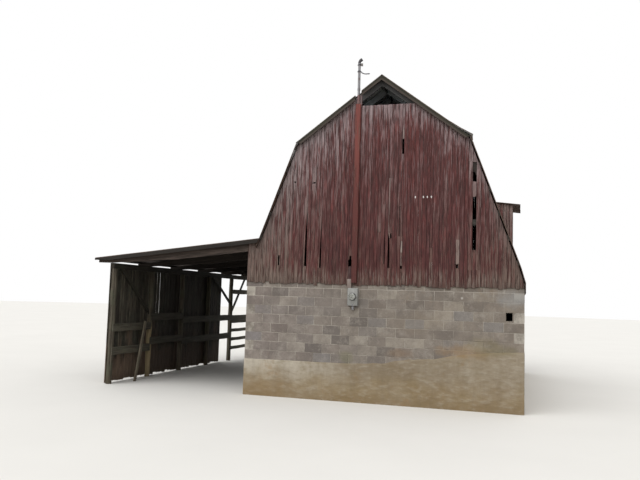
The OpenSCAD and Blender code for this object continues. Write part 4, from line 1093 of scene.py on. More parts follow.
FRAME_NODES = (
    "wall_plates", "loft_joists", "lower_rafters", "upper_rafters", "knee_gussets",
    "collar_ties", "ridge_board", "roof_laths", "front_gable_frame", "rear_gable_frame",
)
for number, name in enumerate(FRAME_NODES):
    sticks(name, "frame_timber", FRAME_WOOD, 100 + number)
sticks("rake_boards", "edge_board", EDGE_WOOD, 120, wobble=0.006, pace=0.2)
sticks("lean_to_fascia", "edge_board", FASCIA_WOOD, 121, wobble=0.006, pace=0.25)
sticks("lean_to_laths", "lean_to_timber", LEAN_WOOD, 122)
sticks("lean_to_rafters", "lean_to_timber", RAFTER_WOOD, 123, wobble=0.004)
sticks("lean_to_beam", "lean_to_timber", LEAN_WOOD, 124, bevel=0.006, wobble=0.005)
sticks("lean_to_posts", "lean_to_timber", POST_WOOD, 125, bevel=0.038, wobble=0.014, pace=0.09,
       wave=0.4)
sticks("lean_to_braces", "lean_to_timber", LEAN_WOOD, 126, bevel=0.005, wobble=0.006, pace=0.15)
sticks("lean_to_rails", "grey_board", RAIL_WOOD, 128, wobble=0.008, pace=0.16, wave=0.4)
sticks("leaning_board", "grey_board", BOARD_GREY, 129, bevel=0.004, wobble=0.005, pace=0.12)


OVER_RAIL = 1.58
OPEN_JOINTS = ((2.138, 2.1707), (2.3, 2.3326))
SIDE_NAIL_HEIGHTS = (2.85, 1.56, 0.86)


def side_boards():
    """The lean-to's upright boards; the second bay has two joints wide enough to see through."""
    rng, bm = random.Random(127), welded("lean_to_side_boards")
    boxes = [[[pick(v.co[i] for v in part) for i in range(3)] for pick in (min, max)]
             for part in loose_parts(bm)]
    bm.free()
    rows = []
    for low, high in sorted(boxes, key=lambda b: b[0][1]):
        top, foot = high[2] - rng.uniform(0, 0.012), low[2] + rng.uniform(-0.01, 0.01)
        tone, bare = rng.random(), rng.random()
        parts = [(low[1], high[1])]
        for gap_low, gap_high in OPEN_JOINTS:
            parts = [(a, b) for y0, y1 in parts for a, b in
                     ((y0, min(y1, gap_low)), (max(y0, gap_high), y1)) if b - a > 0.02]
            parts = sorted(set(parts))
        if parts == [(low[1], high[1])]:
            stretches = [(*parts[0], foot, top)]
        else:
            stretches = [(low[1], high[1], foot, OVER_RAIL)]
            stretches += [(a, b, OVER_RAIL, top) for a, b in parts]
        for y0, y1, z0, z1 in stretches:
            rows.append(row(((low[0] + high[0]) / 2 + rng.uniform(-0.002, 0.001), (y0 + y1) / 2,
                             (z0 + z1) / 2), (y1 - y0, 0.021, z1 - z0), rng,
                            slant=(0, 0, 0.05), turn=(0, 0, math.pi / 2), tone=tone, bare=bare))
    made = copies("lean_to_side_boards_dressed", rows, BOARD, SIDE_WOOD, 0.004, 0.35)
    places = [(low[0] - 0.0005, (low[1] + high[1]) / 2 + k * 0.04, z + rng.uniform(-0.02, 0.02))
              for low, high in boxes for z in SIDE_NAIL_HEIGHTS for k in (-1, 1)]
    heads = nails("side_board_nails", places, (0, -math.pi / 2, 0), rng)
    piece(joined(made, heads), "grey_board", "lean_to_side_boards")


side_boards()


# Block walls

BLOCK_L, COURSE, JOINT = 0.4064, 0.2032, 0.0095
COURSES = 13
RAKED = 0.0022  # how far the mortar lies in from the blocks' faces


def block_blank():
    """A block of unit size with eased edges."""
    bm = bmesh.new()
    bmesh.ops.create_cube(bm, size=1, matrix=Matrix.Diagonal((BLOCK_L, WALL_T, COURSE, 1)))
    bmesh.ops.bevel(bm, geom=bm.edges[:], offset=0.0035, segments=1, profile=0.5, affect="EDGES")
    bm.transform(Matrix.Diagonal((1 / BLOCK_L, 1 / WALL_T, 1 / COURSE, 1)))
    return blank("block", mesh_of(bm, "block"))


BLOCK_BLANK = block_blank()


def around(block, hole):
    """The block (a0, a1, z0, z1) in the parts that a hole leaves of it."""
    a0, a1, z0, z1 = block
    h0, h1, y0, y1 = hole
    if h1 <= a0 or h0 >= a1 or y1 <= z0 or y0 >= z1:
        return [block]
    h0, h1, y0, y1 = max(a0, h0), min(a1, h1), max(z0, y0), min(z1, y1)
    parts = [(a0, h0, z0, z1), (h1, a1, z0, z1), (h0, h1, z0, y0), (h0, h1, y1, z1)]
    return [p for p in parts if p[1] - p[0] > 0.012 and p[3] - p[2] > 0.012]


def block_wall(node, base, along, spans, seed, holes=()):
    """A wall in running bond on a core of mortar. spans(course) gives its stretches."""
    rng = random.Random(seed)
    base, along = Vector(base), Vector(along)
    turn = math.atan2(along.y, along.x)
    rows = []
    for course in range(COURSES):
        z0, z1 = course * COURSE, (course + 1) * COURSE
        for start, end, bond in spans(course):
            lines = [bond + BLOCK_L * i for i in range(-1, 24)]
            edges = [start] + [a for a in lines if start + 0.01 < a < end - 0.01] + [end]
            for a0, a1 in zip(edges, edges[1:]):
                block = (a0 + JOINT / 2, a1 - JOINT / 2, z0 + JOINT / 2, z1 - JOINT / 2)
                parts = [block]
                for hole in holes:
                    parts = [p for part in parts for p in around(part, hole)]
                tone = rng.random()
                out = rng.uniform(-0.0006, 0.001)
                for p in parts:
                    place = base + along * (p[0] + p[1]) / 2 + Vector((0, 0, (p[2] + p[3]) / 2))
                    place += along.cross(Vector((0, 0, 1))) * out
                    rows.append(row(place, (p[1] - p[0], WALL_T, p[3] - p[2]), rng,
                                    turn=(0, 0, turn), tone=tone))
    made = copies(node + "_blocks", rows, BLOCK_BLANK, BLOCK, 0.0008, 0.3)
    core = welded(node)
    for vertex, shift in [(v, v.normal * v.calc_shell_factor() * RAKED) for v in core.verts]:
        vertex.co -= shift
    return joined(made, show(mesh_of(core, node + "_mortar", MORTAR)))


FRONT_L, SIDE_L = 2 * HALF_W, REAR - FRONT
HOLE = (5.731, 5.861, 1.864, 2.032)


def end_wall_spans(course):
    """Front and rear walls leave their corners to the side walls in every other course."""
    return [(0, FRONT_L, 0)] if course % 2 == 0 else [(COURSE, FRONT_L - COURSE, COURSE)]


def side_wall_span(course):
    """Start, end and bond of a side wall's course."""
    return (COURSE, SIDE_L - COURSE, COURSE) if course % 2 == 0 else (0, SIDE_L, 0)


DOOR_FRONT, DOOR_REAR = 3.4544, 5.08


def left_front_spans(course):
    """The left wall's course as far as the doorway."""
    start, _, bond = side_wall_span(course)
    return [(start, DOOR_FRONT, bond)]


def left_rear_spans(course):
    """The left wall's course from the doorway on."""
    _, end, bond = side_wall_span(course)
    return [(DOOR_REAR, end, bond)]


def coat(name, base, along, tops, seed, straight=0.0):
    """The cement wash over the foot of a wall: a thin skin with an uneven upper edge."""
    rng = random.Random(seed)
    base, along = Vector(base), Vector(along)
    out = along.cross(Vector((0, 0, 1)))
    length, bm = tops[-1][0], bmesh.new()
    columns, rings, grid = round(length / 0.06), 9, []
    offset = rng.uniform(0, 50)
    for c in range(columns + 1):
        at = length * c / columns
        (a0, z0), (a1, z1) = next(p for p in zip(tops, tops[1:]) if at <= p[1][0] + 1e-6)
        top = z0 + (z1 - z0) * (at - a0) / (a1 - a0)
        ragged = 0.25 if at < straight else 1.0
        top += ragged * (0.016 * noise.noise(Vector((at * 6, offset, 0)))
                         + 0.008 * noise.noise(Vector((at * 30, offset, 5))))
        line = []
        for r in range(rings + 1):
            z = top * (1 - (1 - r / rings) ** 1.6)
            lift = 0.0042 + 0.0012 * noise.noise(Vector((at * 1.5, offset, z * 2)))
            if r == rings:
                lift = 0.0018
            line.append(bm.verts.new(base + along * at + out * lift + Vector((0, 0, z))))
        grid.append(line)
    for left, right in zip(grid, grid[1:]):
        for r in range(rings):
            bm.faces.new((left[r], right[r], right[r + 1], left[r + 1]))
    bm.normal_update()
    bmesh.ops.solidify(bm, geom=bm.faces[:], thickness=0.004)
    bmesh.ops.recalc_face_normals(bm, faces=bm.faces)
    return show(mesh_of(bm, name, WASH))


def walls():
    """The block walls, each with the coat at its foot."""
    tops_front = ((0, 0.80), (2.5, 0.825), (3.2, 0.87), (3.565, 0.955), (4.304, 1.02),
                  (4.613, 1.095), (5.121, 1.17), (5.62, 1.22), (FRONT_L, 1.245))
    front = block_wall("front_block_wall", (-HALF_W, FRONT + WALL_T / 2, 0), (1, 0, 0),
                       end_wall_spans, 51, [HOLE])
    coat_front = coat("coat_front", (-HALF_W - 0.003, FRONT, 0), (1, 0, 0), tops_front, 61, 2.7)
    piece(joined(front, coat_front), "block_wall", "front_block_wall")
    right = block_wall("right_block_wall", (HALF_W - WALL_T / 2, FRONT, 0), (0, 1, 0),
                       lambda course: [side_wall_span(course)], 52)
    tops_right = ((0, 1.245), (2.0, 1.24), (4.5, 1.19), (7, 1.1), (SIDE_L, 1.04))
    coat_right = coat("coat_right", (HALF_W, FRONT, 0), (0, 1, 0), tops_right, 62)
    piece(joined(right, coat_right), "block_wall", "right_block_wall")
    rear = block_wall("rear_block_wall", (HALF_W, REAR - WALL_T / 2, 0), (-1, 0, 0),
                      end_wall_spans, 53)
    tops_rear = ((0, 1.04), (2.0, 0.98), (4.0, 0.86), (FRONT_L, 0.8))
    coat_rear = coat("coat_rear", (HALF_W, REAR, 0), (-1, 0, 0), tops_rear, 63)
    piece(joined(rear, coat_rear), "block_wall", "rear_block_wall")
    left_base = (-HALF_W + WALL_T / 2, FRONT, 0)
    for node, spans, seed, start, end in (
        ("left_block_wall_front", left_front_spans, 54, FRONT, FRONT + DOOR_FRONT),
        ("left_block_wall_rear", left_rear_spans, 55, FRONT + DOOR_REAR, REAR),
    ):
        made = block_wall(node, left_base, (0, 1, 0), spans, seed)
        tops = ((0, 0.8), (1.5, 0.82), (end - start, 0.8))
        skin = coat(node + "_coat", (-HALF_W, end, 0), (0, -1, 0), tops, seed + 10)
        piece(joined(made, skin), "block_wall", node)


walls()


def lintel():
    """A cast beam over the doorway."""
    bm = welded("left_doorway_lintel")
    bmesh.ops.dissolve_limit(bm, angle_limit=0.01, verts=bm.verts, edges=bm.edges)
    bmesh.ops.bevel(bm, geom=bm.edges[:], offset=0.008, segments=2, profile=0.5, affect="EDGES")
    bmesh.ops.subdivide_edges(bm, edges=bm.edges[:], cuts=2, use_grid_fill=True)
    for v in bm.verts:
        v.co += noise.noise_vector(v.co * 3) * 0.0015
    made = show(mesh_of(bm, "left_doorway_lintel_dressed", CAST))
    piece(made, "block_wall", "left_doorway_lintel")


lintel()


# Roofing

PAN_IN = 0.0152  # how far the flat of a sheet lies in from the CAD slab's outer surface
RIB_H = 0.0145
RIB_PAIR = 0.026  # from the middle of a lap to each of its two ribs
SHEET_T = 0.0013
SHEET_MARGIN = 0.05  # from a slope's edge to its first lap


def inset(points, depth):
    """A line in X and Z moved towards the inside of the right slope, with mitred corners."""
    normals = [Vector(((b - a).y, -(b - a).x)).normalized() for a, b in zip(points, points[1:])]
    moved = [points[0] + normals[0] * depth]
    for point, one, two in zip(points[1:], normals, normals[1:]):
        middle = (one + two).normalized()
        moved.append(point + middle * (depth / middle.dot(one)))
    return moved + [points[-1] + normals[-1] * depth]


def paced(points, pace=0.32):
    """The line with points added so that none lie further apart than the pace."""
    made = [points[0]]
    for a, b in zip(points, points[1:]):
        steps = max(1, math.ceil((b - a).length / pace))
        made += [a.lerp(b, i / steps) for i in range(1, steps + 1)]
    return made


def rib_section(width, edge=0.044):
    """(across, lift) of a sheet with a pair of V ribs at each side and one in the middle."""
    half = width / 2
    section = [(-half - edge, 0.0)]
    for at in (-half - RIB_PAIR, -half + RIB_PAIR, 0.0, half - RIB_PAIR, half + RIB_PAIR):
        section += [(at - 0.0145, 0.0), (at - 0.0025, RIB_H), (at + 0.0025, RIB_H),
                    (at + 0.0145, 0.0)]
        if -half < at < half - RIB_PAIR - 0.001:
            section.append(((at + (0.0 if at < -0.1 else half - RIB_PAIR)) / 2, 0.0))
    return section + [(half + edge, 0.0)]


def sheet_blank(name, line, width, mirrored):
    """One sheet as a surface that follows the line; its lapped side lies a little higher."""
    line = paced(line)
    directions = [(b - a).normalized() for a, b in zip(line, line[1:])]
    directions = [directions[0]] + [
        (a + b).normalized() for a, b in zip(directions, directions[1:])
    ] + [directions[-1]]
    section = rib_section(width)
    side = -1 if mirrored else 1
    points, lie, hem, along = [], [], [], 0.0
    length = sum((b - a).length for a, b in zip(line, line[1:]))
    for i, (point, direction) in enumerate(zip(line, directions)):
        if i:
            along += (point - line[i - 1]).length
        outward = Vector((-direction.y, direction.x))
        for across, lift in section:
            at = point + outward * (lift + 0.0016 * (across / width + 0.5))
            points.append((side * at.x, across, at.y))
            lie.append((across, lift, along))
            hem.append(length - along)
    count, faces = len(section), []
    for r in range(len(line) - 1):
        for i in range(count - 1):
            face = (r * count + i, r * count + i + 1,
                    (r + 1) * count + i + 1, (r + 1) * count + i)
            faces.append(face if mirrored else face[::-1])
    mesh = bpy.data.meshes.new(name)
    mesh.from_pydata(points, [], faces)
    values = mesh.attributes.new("lie", "FLOAT_VECTOR", "POINT")
    values.data.foreach_set("vector", [c for p in lie for c in p])
    values = mesh.attributes.new("from_hem", "FLOAT", "POINT")
    values.data.foreach_set("value", hem)
    return blank(name, mesh)


def cut_away(made, boxes):
    """Cuts the parts of a sheet surface that lie in the boxes."""
    bm = bmesh.new()
    bm.from_mesh(made.data)
    for low, high in boxes:
        low, high = Vector(low), Vector(high)
        reach = Vector((0.8, 0.8, 0.8))
        near = [f for f in bm.faces if all(
            low[i] - reach[i] < f.calc_center_median()[i] < high[i] + reach[i]
            for i in range(3))]
        geometry = list(dict.fromkeys(g for f in near for g in (f, *f.edges, *f.verts)))
        for axis in range(3):
            for corner in (low, high):
                normal = Vector([1.0 if i == axis else 0.0 for i in range(3)])
                geometry = bmesh.ops.bisect_plane(
                    bm, geom=geometry, dist=1e-6, plane_co=corner, plane_no=normal)["geom"]
        inside = [f for f in bm.faces if all(
            low[i] < f.calc_center_median()[i] < high[i] for i in range(3))]
        bmesh.ops.delete(bm, geom=inside, context="FACES")
    bm.to_mesh(made.data)
    bm.free()


def sheets(node, line, front, rear, count, mirrored, seed, cuts=(), nail_runs=(), curl=0.0):
    """A slope's sheets side by side, cut, given their thickness and nailed. curl is the height
    to which the front corner at the hem is bent up."""
    rng = random.Random(seed)
    width = (rear - front - 2 * SHEET_MARGIN) / count
    pan = inset(line, PAN_IN)
    flat = sheet_blank(node + "_sheet", pan, width, mirrored)
    direction = (pan[1] - pan[0]).normalized()
    side = -1 if mirrored else 1
    outwards = Vector((side * 0.6, 0, 0.8))
    rows = []
    for i in range(count):
        slip = direction * rng.uniform(-0.004, 0.004)
        place = (side * slip.x, front + SHEET_MARGIN + (i + 0.5) * width, slip.y)
        rows.append(row(place, (1, 1, 1), rng))
    made = copies(node + "_sheets", rows, flat, ROOFING)
    for vertex in made.data.vertices:
        vertex.co += outwards * noise.noise(vertex.co * 1.7) * 0.0022
    if curl:
        hems = [value.value for value in made.data.attributes["from_hem"].data]
        for vertex, hem in zip(made.data.vertices, hems):
            share = max(0, 1 - (vertex.co.y - front) / 0.5) * max(0, 1 - hem / 0.45)
            vertex.co += outwards * curl * share
    if cuts:
        cut_away(made, cuts)
    thick = made.modifiers.new("thickness", "SOLIDIFY")
    thick.thickness, thick.offset = SHEET_T, -1
    settle(made)
    under = made.data.attributes.new("underside", "FLOAT", "FACE")
    under.data.foreach_set("value", [float(p.normal.z < -0.1) for p in made.data.polygons])
    runs = []
    for start, end, steps in nail_runs:
        outward = Vector((-(end - start).y, (end - start).x)).normalized()
        spots = []
        for s in range(steps):
            at = start.lerp(end, s / (steps - 1)) - outward * 0.0012
            for k in range(2 * count + 1):
                beside = rng.choice((-1, 1)) * RIB_PAIR if k % 2 == 0 else 0
                spot = (side * at.x, front + SHEET_MARGIN + k * width / 2 + beside, at.y)
                if not any(all(lo[i] - 0.01 < spot[i] < hi[i] + 0.01 for i in range(3))
                           for lo, hi in cuts):
                    spots.append(spot)
        runs.append((spots, (0, side * math.atan2(outward.x, outward.y), 0)))
    heads = [nails(node + "_nails", spots, turn, rng, 0.014, 0.005, GALVANISED)
             for spots, turn in runs]
    return joined(made, *heads)


def nail_line(line, start, end):
    """The part of a straight slope's outer line from one share to another."""
    return line[0].lerp(line[1], start), line[0].lerp(line[1], end)


def roofs():
    """The four slopes, the lean-to's and the dormer's, each cut where something stands in it."""
    knee_tip = KNEE + (KNEE - RIDGE).normalized() * 0.028
    upper = [RIDGE + Vector((0.001, 0)), knee_tip]
    lower = [KNEE + (FOOT - KNEE).normalized() * 0.006, FOOT, BEND, HEM]
    notch = ((MAST_X - 0.07, EAVES_FRONT - 0.05, KNEE.y), (MAST_X + 0.07, -0.1239, RIDGE.y))
    upper_nails = [(*nail_line([RIDGE, KNEE], 0.06, 0.94), 5)]
    lower_nails = [(*nail_line([KNEE, FOOT], 0.05, 0.95), 6)]
    spread = (EAVES_FRONT, EAVES_REAR, 15)
    for side, mirrored, seed in (("right", False, 71), ("left", True, 72)):
        made = sheets(f"{side}_upper_roof", upper, *spread, mirrored, seed,
                      [notch] if mirrored else (), upper_nails, 0.0 if mirrored else 0.055)
        piece(made, "roof_sheet", f"{side}_upper_roof")
    well = ((2.0, DORMER_FRONT + 0.045, 3.62), (3.2, DORMER_REAR - 0.045, 4.84))
    made = sheets("right_lower_roof", lower, *spread, False, 73, [well], lower_nails)
    piece(made, "roof_sheet", "right_lower_roof")
    overhang = [((-6.1, EAVES_FRONT - 0.05, 0), (0, FRONT, 3.32)),
                ((-6.1, REAR, 0), (0, EAVES_REAR + 0.05, 3.32))]
    made = sheets("left_lower_roof", lower, *spread, True, 74, overhang, lower_nails)
    piece(made, "roof_sheet", "left_lower_roof")
    lean = [LEAN_TOP + Vector((0.006, 0)), LEAN_EAVES]
    made = sheets("lean_to_roof", lean, *spread, True, 75, (),
                  [(*nail_line(lean, 0.03, 0.985), 7)])
    piece(made, "roof_sheet", "lean_to_roof")
    small = [DORMER_TOP, DORMER_EAVES]
    made = sheets("dormer_roof", small, DORMER_FRONT - 0.06, DORMER_REAR + 0.06, 3, False, 76,
                  (), [(*nail_line(small, 0.2, 0.93), 3)])
    piece(made, "roof_sheet", "dormer_roof")


roofs()


# Mast and meter


def ring(matrix, radius, height, segments):
    """Points round the third axis of the matrix."""
    turns = (2 * math.pi * i / segments for i in range(segments))
    return [matrix @ Vector((radius * math.cos(a), radius * math.sin(a), height)) for a in turns]


class Parts:
    """Gathers turned, bent and boxed parts into one mesh."""

    def __init__(self):
        self.bm = bmesh.new()
        self.closed = self.bm.faces.layers.int.new("closed")
        self.materials = []

    def close(self, material, smooth=True):
        """Gives the faces made since the last call their material."""
        if material not in self.materials:
            self.materials.append(material)
        for face in self.bm.faces:
            if not face[self.closed]:
                face.material_index = self.materials.index(material)
                face.smooth = smooth
                face[self.closed] = 1

    def verts(self, points):
        return [self.bm.verts.new(point) for point in points]

    def box(self, low, high, material, bevel=0.002):
        """A box from corner to corner with eased edges."""
        low, high = Vector(low), Vector(high)
        matrix = Matrix.LocRotScale((low + high) / 2, None, high - low)
        made = bmesh.ops.create_cube(self.bm, size=1, matrix=matrix)["verts"]
        if bevel:
            edges = list(dict.fromkeys(e for v in made for e in v.link_edges))
            bmesh.ops.bevel(self.bm, geom=edges, offset=bevel, segments=2, profile=0.5,
                            affect="EDGES")
        self.close(material, False)

    def skin(self, rings):
        """Faces from each ring to the next, where a ring may be a single point."""
        for low, high in zip(rings, rings[1:]):
            count = max(len(low), len(high))
            for i in range(count if count > 1 else 0):
                k = (i + 1) % count
                corners = [low[i % len(low)], low[k % len(low)],
                           high[k % len(high)], high[i % len(high)]]
                self.bm.faces.new(list(dict.fromkeys(corners)))

    def turned(self, profile, material, matrix, segments=32):
        """A profile of (radius, height) turned round the third axis of the matrix."""
        self.skin([self.verts(ring(matrix, radius, height, segments if radius else 1))
                   for radius, height in profile])
        self.close(material)

    def rod(self, path, radius, material, segments=14):
        """A round bar along a path, with closed ends."""
        path = [Vector(p) for p in path]
        rings = []
        for point, before, after in zip(path, path[:1] + path, path[1:] + path[-1:]):
            turn = (after - before).to_track_quat("Z", "Y").to_matrix().to_4x4()
            rings.append(self.verts(ring(Matrix.Translation(point) @ turn, radius, 0, segments)))
        self.skin(rings)
        self.bm.faces.new(rings[0][::-1])
        self.bm.faces.new(rings[-1])
        self.close(material)

    def done(self, name):
        bmesh.ops.recalc_face_normals(self.bm, faces=self.bm.faces)
        self.bm.faces.layers.int.remove(self.closed)
        mesh = mesh_of(self.bm, name, *self.materials)
        mesh.set_sharp_from_angle(angle=math.radians(38))
        return show(mesh)


def on_mast(z):
    """Upright on the mast's middle line, at a height."""
    return Matrix.Translation((MAST_X, MAST_Y, z))


def facing_front(x, y, z):
    """The third axis points out of the front wall."""
    return Matrix.Translation((x, y, z)) @ Matrix.Rotation(math.pi / 2, 4, "X")


def facing_right(x, y, z, tilt=90):
    return Matrix.Translation((x, y, z)) @ Matrix.Rotation(math.radians(tilt), 4, "Y")


def bolt(parts, matrix, size=0.011, material=GALVANISED):
    """A six-sided bolt head on its washer."""
    parts.turned([(0, 0), (size, 0), (size, size * 0.2), (0, size * 0.2)], material, matrix, 16)
    parts.turned([(0, size * 0.2), (size * 0.62, size * 0.2), (size * 0.62, size * 0.75),
                  (size * 0.5, size * 0.85), (0, size * 0.85)], material, matrix, 6)


sticks("mast_board", "mast_paint", MAST_RED, 140, bevel=0.006, wobble=0.004, pace=0.12)

MAST_SEAT = 0.0005


def mast_pipe():
    """The pipe, reddish at its foot, with a coupling, and a flange bolted to the board's end."""
    pipe, radius, foot = Parts(), 0.029, MAST_BOARD_TOP + MAST_SEAT
    pipe.turned([(0, foot), (radius, foot), (radius, foot + 0.2)], POLE_FOOT, on_mast(0), 40)
    pipe.turned([(radius, foot + 0.2), (radius, foot + 0.3), (radius + 0.0035, foot + 0.302),
                 (radius + 0.0035, foot + 0.36), (radius, foot + 0.362), (radius, MAST_TOP - 0.002),
                 (radius - 0.003, MAST_TOP), (0, MAST_TOP)], GALVANISED, on_mast(0), 40)
    bmesh.ops.remove_doubles(pipe.bm, verts=pipe.bm.verts, dist=1e-6)
    pipe.turned([(radius, foot), (0.034, foot), (0.034, foot + 0.012), (radius + 0.006, foot + 0.02),
                 (radius + 0.004, foot + 0.06), (radius, foot + 0.062)], POLE_FOOT, on_mast(0))
    for z in (foot + 0.32, foot + 0.342):
        pipe.turned([(radius + 0.0035, z), (radius + 0.0055, z + 0.003), (radius + 0.0035, z + 0.006)],
                    GALVANISED, on_mast(0))
    piece(pipe.done("mast_pipe_dressed"), "galvanised", "mast_pipe")


def mast_head():
    """A collar that swells over to a hood, with three porcelain bushes in the hood's face."""
    head, base, segments, steps = Parts(), MAST_TOP + MAST_SEAT, 32, 12
    head.turned([(0, base), (0.031, base), (0.032, base + 0.002), (0.032, base + 0.03),
                 (0.029, base + 0.034), (0.029, base + 0.04), (0, base + 0.04)],
                FITTINGS, on_mast(0), 40)
    collar, hood, tilt, rings = Vector((0, 0, 0.034)), Vector((0.03, 0, 0.072)), math.radians(60), []
    for i in range(steps + 1):
        part = i / steps
        face = on_mast(base) @ Matrix.Translation(collar.lerp(hood, part)) @ Matrix.Rotation(
            tilt * part, 4, "Y")
        rings.append(ring(face, 0.03 + 0.006 * math.sin(part * math.pi / 2), 0, segments))
    for depth, radius in ((0.02, 0.036), (0.034, 0.036), (0.037, 0.0345), (0.0375, 0.032),
                          (0.03, 0.031), (0.03, 0.0)):
        rings.append(ring(face, radius, depth, segments))
    rings = [head.verts(points) for points in rings]
    head.skin(rings)
    head.bm.faces.new(rings[0][::-1])
    bmesh.ops.remove_doubles(head.bm, verts=rings[-1], dist=1e-5)
    head.close(FITTINGS)
    head.turned([(0, 0.0302), (0.0305, 0.0302), (0.0305, 0.033), (0, 0.033)], DARK_METAL, face)
    for middle in ring(Matrix.Rotation(math.pi / 2, 4, "Z"), 0.015, 0, 3):
        head.turned([(0, 0.033), (0.0085, 0.033), (0.0085, 0.0365), (0.006, 0.037), (0.005, 0.034),
                     (0, 0.034)], PORCELAIN, face @ Matrix.Translation(middle), 16)
    bolt(head, facing_front(MAST_X, MAST_Y - 0.031, base + 0.02), 0.006, FITTINGS)
    piece(head.done("mast_head_dressed"), "galvanised", "mast_head")


def mast_arm():
    """A bent arm held by a clamp, and a porcelain knob held by a second clamp over it."""
    arm, clamp, reach, bend_r, bend = Parts(), 0.033, 0.24, 0.15, math.radians(55)
    tip_z, knob_z, knob_x = MAST_TOP - 0.25, MAST_TOP - 0.034, MAST_X + clamp + 0.025
    arm_z = tip_z + bend_r * (1 - math.cos(bend))
    for z in (arm_z, knob_z):
        arm.turned([(0.0293, -0.017), (0.032, -0.017), (clamp, -0.015), (clamp, -0.004),
                    (0.0318, -0.002), (0.0318, 0.002), (clamp, 0.004), (clamp, 0.015),
                    (0.032, 0.017), (0.0293, 0.017), (0.0293, -0.017)], FITTINGS, on_mast(z))
        arm.box((MAST_X - 0.044, MAST_Y - 0.005, z - 0.014), (MAST_X - 0.03, MAST_Y + 0.005, z + 0.014),
                FITTINGS, 0.0015)
        bolt(arm, facing_front(MAST_X - 0.038, MAST_Y - 0.005, z), 0.006)
    middle_x, middle_z = MAST_X + clamp + bend_r * math.sin(bend), tip_z + bend_r
    path = [(MAST_X + 0.03, MAST_Y, arm_z + 0.003)]
    path += [(middle_x + bend_r * math.sin(a), MAST_Y, middle_z - bend_r * math.cos(a))
             for a in (bend * (i / 12 - 1) for i in range(13))]
    path.append((MAST_X + reach - 0.002, MAST_Y, tip_z))
    arm.rod(path, 0.0115, FITTINGS)
    arm.turned([(0.0118, 0), (0.0145, 0.002), (0.0145, 0.012), (0.0118, 0.014), (0.0118, 0)],
               FITTINGS, facing_right(MAST_X + reach - 0.03, MAST_Y, tip_z), 20)
    arm.turned([(0, -0.016), (0.015, -0.016), (0.015, 0.0), (0.009, 0.007), (0, 0.007)], FITTINGS,
               facing_right(MAST_X + clamp, MAST_Y, arm_z), 24)
    knob_place = Matrix.Translation((knob_x, MAST_Y, knob_z))
    upper = [(0.0165, 0.0), (0.0175, 0.005), (0.0225, 0.0085), (0.025, 0.013), (0.0245, 0.025),
             (0.021, 0.028), (0, 0.028)]
    lower = [(radius, -height) for radius, height in upper[:0:-1]]
    arm.turned(lower + upper, PORCELAIN, knob_place)
    arm.turned([(0, 0.028), (0.0075, 0.028), (0.0075, 0.0315), (0.003, 0.033), (0, 0.033)], FITTINGS,
               knob_place, 6)
    arm.rod([(MAST_X + 0.03, MAST_Y, knob_z), (MAST_X + clamp + 0.01, MAST_Y, knob_z)], 0.0078, FITTINGS)
    piece(arm.done("mast_arm_dressed"), "galvanised", "mast_arm")


mast_pipe()
mast_head()
mast_arm()

METER_HALF, METER_SEAT = 0.113, 0.0003
METER_BACK, METER_OUT = FRONT - METER_SEAT, FRONT - METER_SEAT - 0.11


def meter_box():
    """The case: a cover in a folded lip, its hinge on the left and its latch at the foot."""
    case, x, z0, z1, out = Parts(), METER_X, METER_FOOT, METER_HEAD, METER_OUT
    left, right = x - METER_HALF, x + METER_HALF
    case.box((left, out + 0.004, z0), (right, METER_BACK, z1), CASE_GREY, 0.008)
    case.box((left + 0.006, out + 0.0005, z0 + 0.006), (right - 0.006, out + 0.006, z1 - 0.006), CASE_GREY)
    for x0, x1 in ((left - 0.0025, left), (right, right + 0.0025)):
        case.box((x0, out + 0.018, z0 + 0.012), (x1, out + 0.022, z1 - 0.012), DARK_METAL, 0.0)
    for z in (z0 + 0.07, z1 - 0.07):
        case.rod([(left - 0.004, out + 0.016, z - 0.02), (left - 0.004, out + 0.016, z + 0.02)],
                 0.004, GALVANISED, 10)
    case.box((x - 0.014, out - 0.004, z0 + 0.004), (x + 0.014, out + 0.002, z0 + 0.036), GALVANISED, 0.0015)
    case.turned([(0, 0), (0.004, 0), (0.004, 0.006), (0.003, 0.007), (0, 0.007)], DARK_METAL,
                facing_front(x, out - 0.004, z0 + 0.022), 12)
    for side in (-1, 1):
        for z in (z0 + 0.02, z1 - 0.02):
            bolt(case, facing_front(x + side * (METER_HALF - 0.02), out + 0.0005, z), 0.0055)
        case.turned([(0, 0), (0.014, 0), (0.014, 0.0008), (0, 0.0008)], CASE_GREY,
                    facing_right(x + side * METER_HALF, out + 0.055, z0 + 0.08, 90 * side), 20)
    case.turned([(0.025, 0), (0.037, 0), (0.037, 0.007), (0.033, 0.012), (0.025, 0.012)], GALVANISED,
                Matrix.Translation((x, FRONT - 0.055, z0)) @ Matrix.Rotation(math.pi, 4, "X"), 8)
    piece(case.done("meter_box_dressed"), "meter_case", "meter_box")


def small_dial(glass, middle, angle):
    """A small dial's ring, and its hand turned by an angle in degrees."""
    glass.turned([(0.0085, 0.0268), (0.0098, 0.0268), (0.0098, 0.0274), (0.0085, 0.0274),
                  (0.0085, 0.0268)], INK, middle, 24)
    hand = middle @ Matrix.Rotation(math.radians(angle), 4, "Z")
    corners = [(-0.0012, -0.002), (0.0012, -0.002), (0.0002, 0.0078), (-0.0002, 0.0078)]
    low, high = [glass.verts(hand @ Vector((x, y, z)) for x, y in corners) for z in (0.0272, 0.0279)]
    glass.skin([low, high])
    glass.bm.faces.new(low[::-1])
    glass.bm.faces.new(high)
    glass.close(INK, False)


